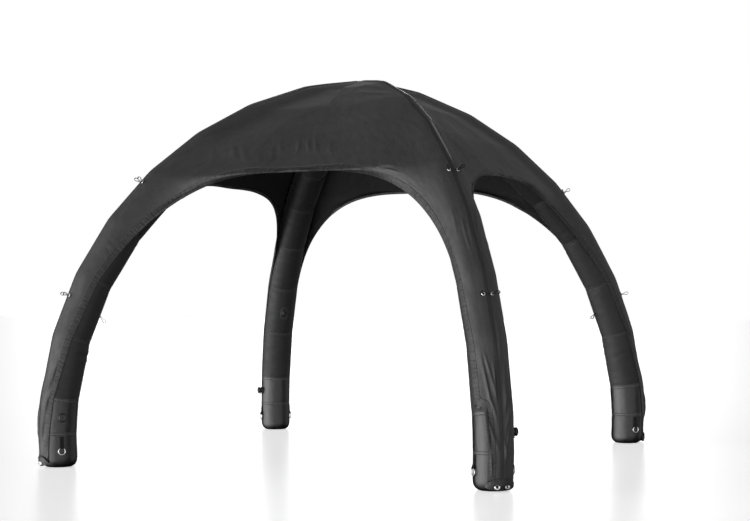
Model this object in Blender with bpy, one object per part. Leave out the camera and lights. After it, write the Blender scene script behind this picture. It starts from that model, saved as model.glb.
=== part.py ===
"""Inflatable promotional dome tent, about 3 m square.

Four bent air legs meet at the crown and carry one sewn cover of four panels. Each leg stands in a vinyl
boot with an inflation valve, two hanging anchor rings and a flap with two eyelets.
Metres, +Z up. The origin is on the ground under the crown, and the front is towards -Y.
"""

import math

import bmesh
import bpy
from mathutils import Matrix, Vector

# Driving dimensions of the legs
FOOT_RADIUS = 2.05          # from the tent's axis to a foot's centre
CROWN_HEIGHT = 2.429        # centre of the air tube at the crown
FOOT_SPLAY = math.radians(4.8)
TUBE_RADIUS = 0.114
TUBE_SIDES = 20
BOOT_HEIGHTS = (0.0, 0.21, 0.42)   # seams of the boot, along the leg
TUBE_SEGMENTS = 8
TUBE_OVERRUN = 0.17         # past the crown, before the tubes are cut to meet
TOUCH_GAP = 0.0003          # between pieces that touch
CLOSE = 1e-6                # closer than this is the same place

# Rounded lower edge of a boot: height along the leg and share of the radius
BOOT_EDGE = ((0.0, 0.68), (0.012, 0.85), (0.034, 0.97), (0.060, 1.0))

# Cover
COVER_GAP = 0.002           # the faceted cover's corners stand this far off the tube
COVER_THICKNESS = 0.0025
COVER_START = 0.05          # lowest row, along the leg
COVER_EDGE = ((0.05, 46.0), (0.42, 59.0), (0.83, 80.0), (1.20, 92.0))
ARCH_DROP = 0.67            # fall of the hem from the middle of a side over the half width
ARCH_HALF = 1.24
ARCH_POWER = 2.95
ARCH_TURN = 12.0            # how close to the leg the hem turns down to meet the cover's side edge
ARCH_SPREAD = 0.8           # spreads the rows evenly along the hem
PANEL_SAG = 0.045
RECESS = 0.042              # hollow of a panel beside the leg, where the cloth follows the tube on
RECESS_REACH = 0.085        # from where a flat panel would leave the tube
RECESS_POWER = 1.5          # how sharply the hollow starts
RECESS_WIDTH = 0.12         # the cloth is back in its plane's direction here, and rises slowly
RECESS_RISE = 0.9
RECESS_BLEND = 3            # how sharply the cloth leaves the tube for the hollow
RECESS_TOP = 0.15           # shares of the panel's height over which the hollow fades
RECESS_FOOT = 0.22
HEM_PULL = 0.16             # the hem's tension flattens the hollow this close to it
WRAP_COLUMNS = 5
RECESS_COLUMNS = 6
FREE_COLUMNS = 4
ARCH_ROWS = 3               # rows in each tube segment where the hem leaves the leg
CROWN_ROWS = 4              # rows in the last segment, where the tubes meet

# Inflation and pressure relief valves, each a turned profile of radius and height
VALVE_HEIGHT = 0.315
VALVE_PROFILE = ((0.0285, 0.0), (0.0285, 0.004), (0.019, 0.006), (0.019, 0.016),
                 (0.0245, 0.018), (0.0245, 0.031), (0.021, 0.035))
RELIEF_ALONG = 0.995
RELIEF_PROFILE = ((0.027, 0.0), (0.027, 0.005), (0.020, 0.007), (0.020, 0.018), (0.017, 0.021))
VALVE_SIDES = 12

# Anchor rings that hang in webbing loops on both sides of a boot
RING_RADIUS = 0.0205
WIRE_RADIUS = 0.003
RING_SIDES = 14
WIRE_SIDES = 6
HINGE_HEIGHT = 0.124
HINGE_STANDOFF = 0.0084     # from the boot's side to the wire's centre
WEB_WIDTH = 0.024
WEB_THICKNESS = 0.0022
WEB_TOP = 0.071             # above the wire's centre
# Hole of the loop, outward and up from the wire's centre; the wire sweeps its outer part
LOOP_HOLE = ((-0.0059, -0.0084), (0.0044, -0.0084), (0.0084, -0.0046), (0.0084, 0.0026),
             (0.0052, 0.0039), (-0.0059, 0.0039))
LOOP_OUTSIDE = ((0.0053, -0.0106), (0.0106, -0.0055), (0.0106, 0.0035), (0.0059, 0.0061))

# Tie-outs: a strip across the ridge seam with an eye and a short strap at each end
TIE_OUT_ALONG = {"low": 1.06, "high": 1.89}
TIE_OUT_REACH = 0.026       # from the seam to an eye's centre, round the leg
EYE_RADIUS = 0.012
EYE_HOLE = 0.007
EYE_SIDES = 8
STRIP_HALF = 0.004
STRAP_END = ((0.050, 0.016), (0.054, 0.006))   # top and bottom corner, round and along the leg
TIE_OUT_THICKNESS = 0.0025

# Eyelet flaps at the outer edge of each foot: radius of the inner face and distance along the leg
FLAP_SECTION = ((0.1190, 0.072), (0.1260, 0.054), (0.1270, 0.034), (0.1190, 0.008))
FLAP_HALF_ANGLE = math.radians(32.0)
FLAP_COLUMNS = 8
FLAP_THICKNESS = 0.0025
EYELET_ANGLE = math.radians(14.0)
EYELET_HEIGHT = 0.030
EYELET_HOLE = 0.0075
EYELET_REACH = (0.10, 0.15)   # ends of the bar that opens an eyelet, from the foot's centre

LEGS = {"front_right": -45.0, "back_right": 45.0, "back_left": 135.0, "front_left": 225.0}
PANELS = {"front": 0.0, "right": 90.0, "back": 180.0, "left": 270.0}

# The leg's centre line is one arc through the foot and the crown
BEND_RADIUS = (FOOT_RADIUS ** 2 + CROWN_HEIGHT ** 2) / (
    2 * (FOOT_RADIUS * math.cos(FOOT_SPLAY) + CROWN_HEIGHT * math.sin(FOOT_SPLAY)))
CROWN_LEAN = math.atan2(CROWN_HEIGHT / BEND_RADIUS - math.sin(FOOT_SPLAY),
                        math.cos(FOOT_SPLAY) - FOOT_RADIUS / BEND_RADIUS)
LEG_LENGTH = BEND_RADIUS * (CROWN_LEAN + FOOT_SPLAY)
SEGMENT = (LEG_LENGTH - BOOT_HEIGHTS[-1]) / TUBE_SEGMENTS
MITRES = list(BOOT_HEIGHTS) + [BOOT_HEIGHTS[-1] + SEGMENT * (i + 1) for i in range(TUBE_SEGMENTS)]
LIFT_OFF = MITRES[4]        # the hem leaves the leg here
ARCH_ROW = MITRES[6]        # the row that ends at the top of the arch
COVER_RADIUS = TUBE_RADIUS + COVER_GAP
HALF = math.sqrt(0.5)


# Leg geometry, in the leg's own frame: X away from the tent's axis, Y round the tent, Z up


def lean(along):
    """Angle of the leg from the vertical, towards the tent's axis."""
    return along / BEND_RADIUS - FOOT_SPLAY


def centre(along):
    """Point of the leg's arc."""
    angle = lean(along)
    reach = FOOT_RADIUS + BEND_RADIUS * (math.cos(angle) - math.cos(FOOT_SPLAY))
    return Vector((reach, 0.0, BEND_RADIUS * (math.sin(angle) + math.sin(FOOT_SPLAY))))


def mitre_normal(index):
    """Outward direction in a mitre's plane, as long as the mitre stretches a round tube."""
    if index == 0:
        first = (lean(MITRES[0]) + lean(MITRES[1])) / 2
        return Vector((1.0 / math.cos(first), 0.0, 0.0))
    below = lean(MITRES[index]) - lean(MITRES[index - 1])
    above = below
    if index < len(MITRES) - 1:
        above = lean(MITRES[index + 1]) - lean(MITRES[index])
    angle = lean(MITRES[index]) + (above - below) / 4
    stretch = 1.0 / math.cos((above + below) / 4)
    return Vector((math.cos(angle), 0.0, math.sin(angle))) * stretch


def mitre_point(index, turn, radius):
    """Point of a mitre, turned from the ridge of the leg."""
    side = Vector((0.0, 1.0, 0.0))
    return centre(MITRES[index]) + radius * (math.cos(turn) * mitre_normal(index) + math.sin(turn) * side)


def skin_point(along, turn, radius):
    """Point of the straight tube between two mitres."""
    index = max(i for i in range(len(MITRES) - 1) if MITRES[i] <= along + 1e-9)
    share = (along - MITRES[index]) / (MITRES[index + 1] - MITRES[index])
    return mitre_point(index, turn, radius).lerp(mitre_point(index + 1, turn, radius), share)


def ring_of(along, radius, sides=TUBE_SIDES):
    """Points right round a leg."""
    return [skin_point(along, 2 * math.pi * i / sides, radius) for i in range(sides)]


# Mesh helpers


def new_object(name, mesh, material, turn=0.0, place=(0.0, 0.0, 0.0)):
    """Object of a mesh, turned about Z by degrees."""
    obj = bpy.data.objects.new(name, mesh)
    obj.location = place
    obj.rotation_euler.z = math.radians(turn)
    if not mesh.materials:
        mesh.materials.append(material)
    bpy.context.collection.objects.link(obj)
    return obj


def finish(bm, name, smooth_angle=None):
    """Mesh data from a bmesh, with faces pointing out."""
    bmesh.ops.recalc_face_normals(bm, faces=bm.faces[:])
    if bm.calc_volume(signed=True) < 0.0:
        bmesh.ops.reverse_faces(bm, faces=bm.faces[:])
    mesh = bpy.data.meshes.new(name)
    bm.to_mesh(mesh)
    bm.free()
    if smooth_angle is not None:
        mesh.shade_smooth()
        mesh.set_sharp_from_angle(angle=math.radians(smooth_angle))
    return mesh


def loft(bm, rings, capped=True):
    """Skin over rings of the same number of points."""
    rows = [[bm.verts.new(point) for point in ring] for ring in rings]
    count = len(rows[0])
    for low, high in zip(rows, rows[1:]):
        for i in range(count):
            j = (i + 1) % count
            bm.faces.new((low[i], low[j], high[j], high[i]))
    if capped:
        bm.faces.new(list(reversed(rows[0])))
        bm.faces.new(rows[-1])
    return rows


def cut_at_plane(bm, point, normal):
    """Remove what lies past a plane and close the cut."""
    geometry = bm.verts[:] + bm.edges[:] + bm.faces[:]
    cut = bmesh.ops.bisect_plane(bm, geom=geometry, dist=1e-6, plane_co=point, plane_no=normal, clear_outer=True)
    edges = [item for item in cut["geom_cut"] if isinstance(item, bmesh.types.BMEdge)]
    bmesh.ops.contextual_create(bm, geom=edges)


def turned_mesh(name, profile, sides):
    """Closed turned solid, its axis along +Y with the seat at Y = 0."""
    bm = bmesh.new()
    rings = []
    for radius, height in profile:
        angles = [2 * math.pi * i / sides for i in range(sides)]
        rings.append([(radius * math.cos(a), height, radius * math.sin(a)) for a in angles])
    loft(bm, rings)
    return finish(bm, name, smooth_angle=40)


def plate_outline(bm, loops, thickness):
    """Flat plate in XZ with its outline and holes, from Y = 0 to the thickness."""
    edges = []
    for loop in loops:
        verts = [bm.verts.new((x, 0.0, z)) for x, z in loop]
        edges += [bm.edges.new((verts[i], verts[(i + 1) % len(verts)])) for i in range(len(verts))]
    bmesh.ops.triangle_fill(bm, edges=edges, use_beauty=True)
    extruded = bmesh.ops.extrude_face_region(bm, geom=bm.faces[:])
    moved = [item for item in extruded["geom"] if isinstance(item, bmesh.types.BMVert)]
    bmesh.ops.translate(bm, verts=moved, vec=(0.0, thickness, 0.0))


# Legs


def boot_mesh():
    """Vinyl boot with a flat sole and a rounded lower edge."""
    bm = bmesh.new()
    rings = [ring_of(along, TUBE_RADIUS * share) for along, share in BOOT_EDGE]
    rings += [ring_of(along, TUBE_RADIUS) for along in BOOT_HEIGHTS[1:]]
    for point in rings[0]:
        point.z = 0.0
    loft(bm, rings)
    return finish(bm, "boot", smooth_angle=50)


def air_tube_mesh():
    """Bent air tube, mitred at its seams and cut where the four tubes meet."""
    bm = bmesh.new()
    rings = [ring_of(MITRES[2] + TOUCH_GAP, TUBE_RADIUS)]
    rings += [ring_of(along, TUBE_RADIUS) for along in MITRES[3:-1]]
    last = [mitre_point(len(MITRES) - 1, 2 * math.pi * i / TUBE_SIDES, TUBE_RADIUS) for i in range(TUBE_SIDES)]
    rings.append([end + (end - start).normalized() * TUBE_OVERRUN for start, end in zip(rings[-1], last)])
    loft(bm, rings)
    for side in (-1.0, 1.0):
        normal = Vector((-HALF, side * HALF, 0.0))
        cut_at_plane(bm, -normal * TOUCH_GAP / 2, normal)
    return finish(bm, "air_tube", smooth_angle=30)


# Cover


def ease(share):
    """Share from 0 to 1 with level ends."""
    share = min(max(share, 0.0), 1.0)
    return share * share * (3 - 2 * share)


def edge_turn(along):
    """Angle round the leg of the cover's side edge, below the arch."""
    for (low, start), (high, end) in zip(COVER_EDGE, COVER_EDGE[1:]):
        if along <= high:
            return math.radians(start + (end - start) * (along - low) / (high - low))
    return math.radians(COVER_EDGE[-1][1])


def take_off(along):
    """Angle round the leg where the cloth leaves the tube."""
    flat = math.atan(math.cos(lean(along)))
    if along <= LIFT_OFF:
        return edge_turn(along)
    share = ease((along - LIFT_OFF) / (ARCH_ROW - LIFT_OFF))
    return edge_turn(LIFT_OFF) * (1 - share) + flat * share


def to_front(point):
    """From the leg's frame, Y towards the front panel, to the tent's frame for the front right leg."""
    return Vector(((point.x - point.y) * HALF, (-point.x - point.y) * HALF, point.z))


def contact(along, radius):
    """Where a row leaves the tube, and the cloth's outward direction there."""
    turn = take_off(along)
    angle = lean(along)
    outward = Vector((math.cos(turn) * math.cos(angle), math.sin(turn), math.cos(turn) * math.sin(angle)))
    return to_front(skin_point(along, turn, radius)), to_front(outward)


def row_end(along, radius):
    """Last point of a row, in the cloth's plane: on the leg, on the arch or at the middle of the panel."""
    start, outward = contact(along, radius)
    if along <= LIFT_OFF + CLOSE:
        return start
    if along >= ARCH_ROW - CLOSE:
        end = Vector((0.0, 0.0, start.z))
    else:
        widest, _ = contact(LIFT_OFF, radius)
        highest, _ = contact(ARCH_ROW, radius)
        share = (along - LIFT_OFF) / (ARCH_ROW - LIFT_OFF)
        near = math.cos(math.pi / 2 * share) ** ARCH_SPREAD
        drop = ARCH_DROP * (widest.x / ARCH_HALF) ** ARCH_POWER
        fall = drop * near ** ARCH_POWER + (highest.z - widest.z - drop) * near ** ARCH_TURN
        end = Vector((widest.x * near, 0.0, highest.z - fall))
    offset = end - start
    end.y = start.y - (outward.x * offset.x + outward.z * offset.z) / outward.y
    return end


def hollow(distance, depth, from_hem, radius):
    """How far the cloth lies behind a flat panel beside the leg: on the tube at first, then off it."""
    rise = math.exp(-max(distance - RECESS_WIDTH, 0.0) / RECESS_RISE) * ease(from_hem / HEM_PULL)
    free = depth * rise * (1.0 - math.exp(-(distance / RECESS_REACH) ** RECESS_POWER))
    tube = radius - math.sqrt(max(radius * radius - distance * distance, 0.0))
    if free <= CLOSE or tube <= CLOSE:
        return 0.0
    return (free ** -RECESS_BLEND + tube ** -RECESS_BLEND) ** (-1 / RECESS_BLEND)


def free_distances(width):
    """Distances of a row's points from the leg: close together in the hollow, then evenly spread."""
    near = min(RECESS_WIDTH, width * RECESS_COLUMNS / (RECESS_COLUMNS + FREE_COLUMNS))
    distances = [near * i / RECESS_COLUMNS for i in range(1, RECESS_COLUMNS + 1)]
    return distances + [near + (width - near) * i / FREE_COLUMNS for i in range(1, FREE_COLUMNS + 1)]


def cloth_row(along, radius):
    """Points of one row of the front panel's right half, from the ridge seam to the hem or the middle."""
    turn = take_off(along)
    row = [to_front(skin_point(along, turn * i / WRAP_COLUMNS, radius)) for i in range(WRAP_COLUMNS + 1)]
    start, outward = contact(along, radius)
    end = row_end(along, radius)
    width = (end - start).length
    angle = lean(along)
    upward = to_front(Vector((-math.sin(angle), 0.0, math.cos(angle))))
    spread = (end - start).cross(upward).length / max(width, CLOSE)
    height_share = min((LEG_LENGTH - along) / (LEG_LENGTH - LIFT_OFF), 1.0)
    sag = PANEL_SAG * math.sin(math.pi * height_share) ** 2
    depth = RECESS * ease(height_share / RECESS_TOP) * ease((1.0 - height_share) / RECESS_FOOT)
    for distance in free_distances(width):
        point = start.lerp(end, distance / width) if width > CLOSE else start.copy()
        across = 1.0 - point.x / start.x
        from_hem = HEM_PULL if end.x == 0.0 else width - distance
        dip = max(sag * math.sin(math.pi / 2 * across) ** 2, hollow(distance * spread, depth, from_hem, radius))
        row.append(point - outward * dip)
    if end.x == 0.0:
        row[-1].x = 0.0
    row[0] = row[0] + Vector((-HALF, -HALF, 0.0)) * TOUCH_GAP / 2
    return row


def cover_stations():
    """Rows of the cover along the leg, always with one at each mitre."""
    stations = [COVER_START]
    for low, high in zip(MITRES[:-1], MITRES[1:]):
        steps = 1
        if low >= ARCH_ROW - CLOSE:
            steps = 2
        elif low >= LIFT_OFF - CLOSE:
            steps = ARCH_ROWS
        if high == MITRES[-1]:
            steps = CROWN_ROWS
        stations += [low + (high - low) * (i + 1) / steps for i in range(steps)]
    return stations[:-1]


def crown_tip(radius):
    """Where the ridge seams meet, for one of the two faces of the cloth."""
    top = CROWN_HEIGHT + radius / math.sin(CROWN_LEAN)
    return Vector((0.0, -TOUCH_GAP, top))


def quad_split(bm, a, b, c, d):
    """Two triangles on the shorter diagonal of a quad, left out where it has shrunk to a line."""
    if (a.co - c.co).length <= (b.co - d.co).length:
        corners = ((a, b, c), (a, c, d))
    else:
        corners = ((a, b, d), (b, c, d))
    for triangle in corners:
        if len(set(triangle)) == 3:
            bm.faces.new(triangle)


def cloth_face(bm, stations, radius):
    """Vertices of one face of the cloth, row by row up to the crown, shared where points coincide."""
    rows = []
    for along in stations:
        verts = []
        for point in cloth_row(along, radius):
            same = verts and (verts[-1].co - point).length < 10 * CLOSE
            verts.append(verts[-1] if same else bm.verts.new(point))
        rows.append(verts)
    tip = bm.verts.new(crown_tip(radius))
    rows.append([tip] * len(rows[0]))
    return rows


def canopy_mesh():
    """Right half of the front panel, open at X = 0, where a mirror joins the other half."""
    bm = bmesh.new()
    stations = cover_stations()
    inner = cloth_face(bm, stations, COVER_RADIUS)
    outer = cloth_face(bm, stations, COVER_RADIUS + COVER_THICKNESS)
    last = len(inner[0]) - 1
    for i in range(len(inner) - 1):
        for j in range(last):
            quad_split(bm, inner[i][j], inner[i + 1][j], inner[i + 1][j + 1], inner[i][j + 1])
            quad_split(bm, outer[i][j], outer[i][j + 1], outer[i + 1][j + 1], outer[i + 1][j])
        quad_split(bm, inner[i][0], outer[i][0], outer[i + 1][0], inner[i + 1][0])
    for i in range(len(stations) - 1):
        if stations[i + 1] <= ARCH_ROW + CLOSE:
            quad_split(bm, inner[i][last], inner[i + 1][last], outer[i + 1][last], outer[i][last])
    for j in range(last):
        quad_split(bm, inner[0][j], inner[0][j + 1], outer[0][j + 1], outer[0][j])
    return finish(bm, "canopy", smooth_angle=35)


def add_mirror(obj):
    """Mirror a half panel about X = 0."""
    mirror = obj.modifiers.new("other_half", "MIRROR")
    mirror.use_axis = (True, False, False)
    mirror.use_mirror_merge = True
    mirror.merge_threshold = 0.00005


# Fittings


def anchor_loop_mesh():
    """Webbing sewn to the boot, with a loop for the ring; Y points out of the boot, Z up from the wire."""
    back = TOUCH_GAP - HINGE_STANDOFF
    front = back + WEB_THICKNESS
    bottom = LOOP_OUTSIDE[0][1]
    outline = [(back, bottom)] + list(LOOP_OUTSIDE) + [(front, LOOP_OUTSIDE[-1][1]), (front, WEB_TOP), (back, WEB_TOP)]
    bm = bmesh.new()
    plate_outline(bm, [outline, LOOP_HOLE], WEB_WIDTH)
    swap = Matrix(((0.0, 1.0, 0.0), (1.0, 0.0, 0.0), (0.0, 0.0, 1.0)))
    bmesh.ops.transform(bm, matrix=swap.to_4x4(), verts=bm.verts[:])
    bmesh.ops.translate(bm, verts=bm.verts[:], vec=(-WEB_WIDTH / 2, 0.0, 0.0))
    return finish(bm, "anchor_loop")


def anchor_ring_mesh():
    """Ring that hangs below its hinge axis, which runs along X through the wire's top."""
    bm = bmesh.new()
    rings = []
    for i in range(RING_SIDES):
        swing = 2 * math.pi * i / RING_SIDES
        outward = Vector((math.sin(swing), 0.0, math.cos(swing)))
        middle = outward * RING_RADIUS - Vector((0.0, 0.0, RING_RADIUS))
        ring = []
        for j in range(WIRE_SIDES):
            turn = 2 * math.pi * j / WIRE_SIDES
            ring.append(middle + WIRE_RADIUS * (math.cos(turn) * outward + Vector((0.0, math.sin(turn), 0.0))))
        rings.append(ring)
    loft(bm, rings + [rings[0]], capped=False)
    bmesh.ops.remove_doubles(bm, verts=bm.verts[:], dist=CLOSE)
    return finish(bm, "anchor_ring", smooth_angle=80)


def tie_out_outline():
    """Outline of a tie-out laid flat: the right half from the top of the strip, then its mirror image."""
    start = math.pi - math.asin(STRIP_HALF / EYE_RADIUS)
    right = [(0.0, STRIP_HALF), (TIE_OUT_REACH / 3, STRIP_HALF)]
    for i in range(EYE_SIDES):
        swing = start - 2 * start * i / (EYE_SIDES - 1)
        right.append((TIE_OUT_REACH + EYE_RADIUS * math.cos(swing), EYE_RADIUS * math.sin(swing)))
        if i == EYE_SIDES // 2 - 1:
            right += STRAP_END
    right += [(TIE_OUT_REACH / 3, -STRIP_HALF), (0.0, -STRIP_HALF)]
    return right + [(-x, z) for x, z in reversed(right[1:-1])]


def tie_out_mesh(along):
    """Strip with an eye and a strap at each end, bent round the ridge of a leg."""
    bm = bmesh.new()
    angles = [2 * math.pi * i / EYE_SIDES for i in range(EYE_SIDES)]
    holes = []
    for side in (1.0, -1.0):
        middle = side * TIE_OUT_REACH
        holes.append([(middle + EYE_HOLE * math.cos(a), EYE_HOLE * math.sin(a)) for a in angles])
    plate_outline(bm, [tie_out_outline()] + holes, TIE_OUT_THICKNESS)
    seat = COVER_RADIUS + COVER_THICKNESS + TOUCH_GAP
    for vert in bm.verts:
        radius = seat + vert.co.y
        vert.co = skin_point(along + vert.co.z, vert.co.x / seat, radius)
    return finish(bm, "tie_out")


def flap_mesh():
    """Flap round the outer edge of a foot."""
    bm = bmesh.new()
    rings = []
    for i in range(FLAP_COLUMNS + 1):
        turn = FLAP_HALF_ANGLE * (2 * i / FLAP_COLUMNS - 1)
        inner = [skin_point(along, turn, radius) for radius, along in FLAP_SECTION]
        outer = [skin_point(along, turn, radius + FLAP_THICKNESS) for radius, along in reversed(FLAP_SECTION)]
        rings.append(inner + outer)
    loft(bm, rings)
    return finish(bm, "eyelet_flap", smooth_angle=40)


def eyelet_cutter_mesh():
    """Two round bars through a flap, one for each eyelet."""
    bm = bmesh.new()
    foot = Vector((centre(0.0).x, 0.0, EYELET_HEIGHT))
    up = Vector((0.0, 0.0, 1.0))
    angles = [2 * math.pi * i / EYE_SIDES for i in range(EYE_SIDES)]
    for side in (-1.0, 1.0):
        outward = Vector((math.cos(EYELET_ANGLE), side * math.sin(EYELET_ANGLE), 0.0))
        across = Vector((-outward.y, outward.x, 0.0))
        rim = [EYELET_HOLE * (across * math.cos(a) + up * math.sin(a)) for a in angles]
        loft(bm, [[foot + outward * reach + point for point in rim] for reach in EYELET_REACH])
    return finish(bm, "eyelet_cutter")


def cut_eyelets(flap, cutter):
    """Boolean that opens both eyelets."""
    cutter.hide_render = True
    cutter.display_type = "WIRE"
    cut = flap.modifiers.new("eyelets", "BOOLEAN")
    cut.operation = "DIFFERENCE"
    cut.object = cutter


# Materials


def make_material(name, color, roughness, metallic=0.0):
    """Plain Principled material."""
    material = bpy.data.materials.new(name)
    material.use_nodes = True
    shader = material.node_tree.nodes["Principled BSDF"]
    shader.inputs["Base Color"].default_value = (*color, 1.0)
    shader.inputs["Roughness"].default_value = roughness
    shader.inputs["Metallic"].default_value = metallic
    material.diffuse_color = (*color, 1.0)
    return material


def make_materials():
    """Finishes of the tent's parts."""
    return {
        "cover": make_material("cover_cloth", (0.042, 0.042, 0.044), 0.75),
        "tube": make_material("tube_cloth", (0.030, 0.030, 0.032), 0.7),
        "boot": make_material("boot_vinyl", (0.045, 0.046, 0.048), 0.35),
        "web": make_material("black_webbing", (0.018, 0.018, 0.019), 0.8),
        "valve": make_material("valve_plastic", (0.020, 0.020, 0.021), 0.4),
        "chrome": make_material("bright_steel", (0.75, 0.75, 0.76), 0.15, 1.0),
    }


# Assembly


def place_fitting(name, mesh, material, leg, point, side=1.0):
    """Put a fitting at a point of the leg's frame, with its Y out of the leg's side."""
    azimuth = LEGS[leg]
    place = Matrix.Rotation(math.radians(azimuth), 4, "Z") @ Vector(point)
    turn = azimuth if side > 0 else azimuth + 180.0
    return new_object(name, mesh, material, turn, place)


def build_legs(materials):
    """Boots, air tubes and eyelet flaps."""
    boot, tube, flap, cutter = boot_mesh(), air_tube_mesh(), flap_mesh(), eyelet_cutter_mesh()
    for leg, azimuth in LEGS.items():
        new_object(f"boot_{leg}", boot, materials["boot"], azimuth)
        new_object(f"air_tube_{leg}", tube, materials["tube"], azimuth)
        piece = new_object(f"eyelet_flap_{leg}", flap, materials["boot"], azimuth)
        cut_eyelets(piece, new_object(f"eyelet_cutter_{leg}", cutter, materials["boot"], azimuth))


def build_cover(materials):
    """Four panels that meet at the ridge seams."""
    mesh = canopy_mesh()
    for panel, azimuth in PANELS.items():
        add_mirror(new_object(f"canopy_{panel}", mesh, materials["cover"], azimuth))


def build_valves(materials):
    """One inflation valve on each boot and a relief valve inside the back left leg."""
    seat = TUBE_RADIUS + TOUCH_GAP
    valve = turned_mesh("inflation_valve", VALVE_PROFILE, VALVE_SIDES)
    for leg in LEGS:
        point = skin_point(VALVE_HEIGHT, math.pi / 2, seat)
        place_fitting(f"inflation_valve_{leg}", valve, materials["valve"], leg, point)
    relief = turned_mesh("relief_valve", RELIEF_PROFILE, VALVE_SIDES)
    piece = place_fitting("relief_valve", relief, materials["valve"], "back_left", (0.0, 0.0, 0.0))
    point = skin_point(RELIEF_ALONG, math.pi, seat)
    piece.location = Matrix.Rotation(math.radians(LEGS["back_left"]), 4, "Z") @ point
    tilt = (lean(MITRES[3]) + lean(MITRES[4])) / 2
    piece.rotation_euler = (-tilt, 0.0, math.radians(LEGS["back_left"] + 90.0))


def build_anchors(materials):
    """Webbing loops and rings on both sides of each boot."""
    loop, ring = anchor_loop_mesh(), anchor_ring_mesh()
    reach = skin_point(HINGE_HEIGHT, math.pi / 2, TUBE_RADIUS).x
    for leg in LEGS:
        for number, side in ((1, 1.0), (2, -1.0)):
            point = (reach, side * (TUBE_RADIUS + HINGE_STANDOFF), HINGE_HEIGHT)
            place_fitting(f"anchor_loop_{leg}_{number}", loop, materials["web"], leg, point, side)
            place_fitting(f"anchor_ring_{leg}_{number}", ring, materials["chrome"], leg, point, side)


def build_tie_outs(materials):
    """Low and high tie-outs on the ridge of each leg."""
    for level, along in TIE_OUT_ALONG.items():
        mesh = tie_out_mesh(along)
        for leg, azimuth in LEGS.items():
            new_object(f"tie_out_{level}_{leg}", mesh, materials["chrome"], azimuth)


def clear_scene():
    """Remove what the scene starts with."""
    for obj in list(bpy.data.objects):
        bpy.data.objects.remove(obj, do_unlink=True)


def main():
    """Build the tent."""
    clear_scene()
    materials = make_materials()
    build_legs(materials)
    build_cover(materials)
    build_valves(materials)
    build_anchors(materials)
    build_tie_outs(materials)


main()
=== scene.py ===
"""Dressed model of an inflatable promotional dome tent.

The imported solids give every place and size. Round them this script hangs the sewn cover with its folds
and hems, the mitred air legs with their seams, the vinyl boots, and the valves, rings and straps.
Metres, +Z up, origin on the ground under the crown, front towards -Y.
"""

import logging
import math
import random
from collections.abc import Callable
from dataclasses import dataclass, field
from enum import Enum

import bmesh
import bpy
import numpy as np
from mathutils import Matrix, Vector, noise

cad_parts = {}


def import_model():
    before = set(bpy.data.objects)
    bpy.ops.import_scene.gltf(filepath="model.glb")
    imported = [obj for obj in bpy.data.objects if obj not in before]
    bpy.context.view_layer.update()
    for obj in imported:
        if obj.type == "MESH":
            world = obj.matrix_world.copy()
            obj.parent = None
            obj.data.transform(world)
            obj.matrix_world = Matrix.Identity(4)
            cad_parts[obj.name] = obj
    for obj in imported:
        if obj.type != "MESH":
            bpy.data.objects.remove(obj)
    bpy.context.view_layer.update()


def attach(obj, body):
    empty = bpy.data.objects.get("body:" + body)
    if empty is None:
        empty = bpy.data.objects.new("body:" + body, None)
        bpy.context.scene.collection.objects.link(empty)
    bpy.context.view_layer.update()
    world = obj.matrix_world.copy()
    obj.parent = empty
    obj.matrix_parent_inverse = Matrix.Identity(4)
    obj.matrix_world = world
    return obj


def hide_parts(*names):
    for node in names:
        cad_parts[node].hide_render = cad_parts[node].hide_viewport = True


LOG = logging.getLogger("dome_tent")
BODY = "tent"
HALF = math.sqrt(0.5)
TURN = 2.0 * math.pi
UP = Vector((0.0, 0.0, 1.0))
SIDES = (1.0, -1.0)
STITCH = 0.0045     # length of a stitch with its gap
THREAD = 0.0016     # width of the sewing thread

Socket = bpy.types.NodeSocket
Material = bpy.types.Material
Mesh = bpy.types.Mesh
Triple = tuple[float, float, float]
Pair = tuple[float, float]
Pairs = tuple[Pair, ...]
Relief = list[tuple[Socket, float]]


class Quarter(Enum):
    """A part that stands four times round the tent, each with its label and its azimuth in degrees."""

    @property
    def label(self) -> str:
        """Name used in the nodes."""
        return self.value[0]

    @property
    def number(self) -> int:
        """Place in the order round the tent, from 0."""
        return list(type(self)).index(self)

    @property
    def matrix(self) -> Matrix:
        """Turn from the part's own frame to the tent's."""
        return Matrix.Rotation(math.radians(self.value[1]), 4, "Z")


class Leg(Quarter):
    """The four legs."""

    FRONT_RIGHT = ("front_right", -45.0)
    BACK_RIGHT = ("back_right", 45.0)
    BACK_LEFT = ("back_left", 135.0)
    FRONT_LEFT = ("front_left", 225.0)


class Panel(Quarter):
    """The four panels of the cover."""

    FRONT = ("front", 0.0)
    RIGHT = ("right", 90.0)
    BACK = ("back", 180.0)
    LEFT = ("left", 270.0)

    @property
    def legs(self) -> tuple[Leg, Leg]:
        """The legs that carry this panel, at its right and at its left as seen from outside."""
        legs = list(Leg)
        return legs[self.number], legs[self.number - 1]


class Slot(Enum):
    """Material slots of the record."""

    COVER = "cover_cloth"
    TUBE = "tube_cloth"
    BOOT = "boot_vinyl"
    WEBBING = "black_webbing"
    VALVE = "valve_plastic"
    STEEL = "bright_steel"


class Profile(Enum):
    """Cross section of a fold in the cloth."""

    ROLL = "roll"          # the same on both sides
    LAP = "lap"            # steep on one side, as where the cloth laps over itself


# Finishes


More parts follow.
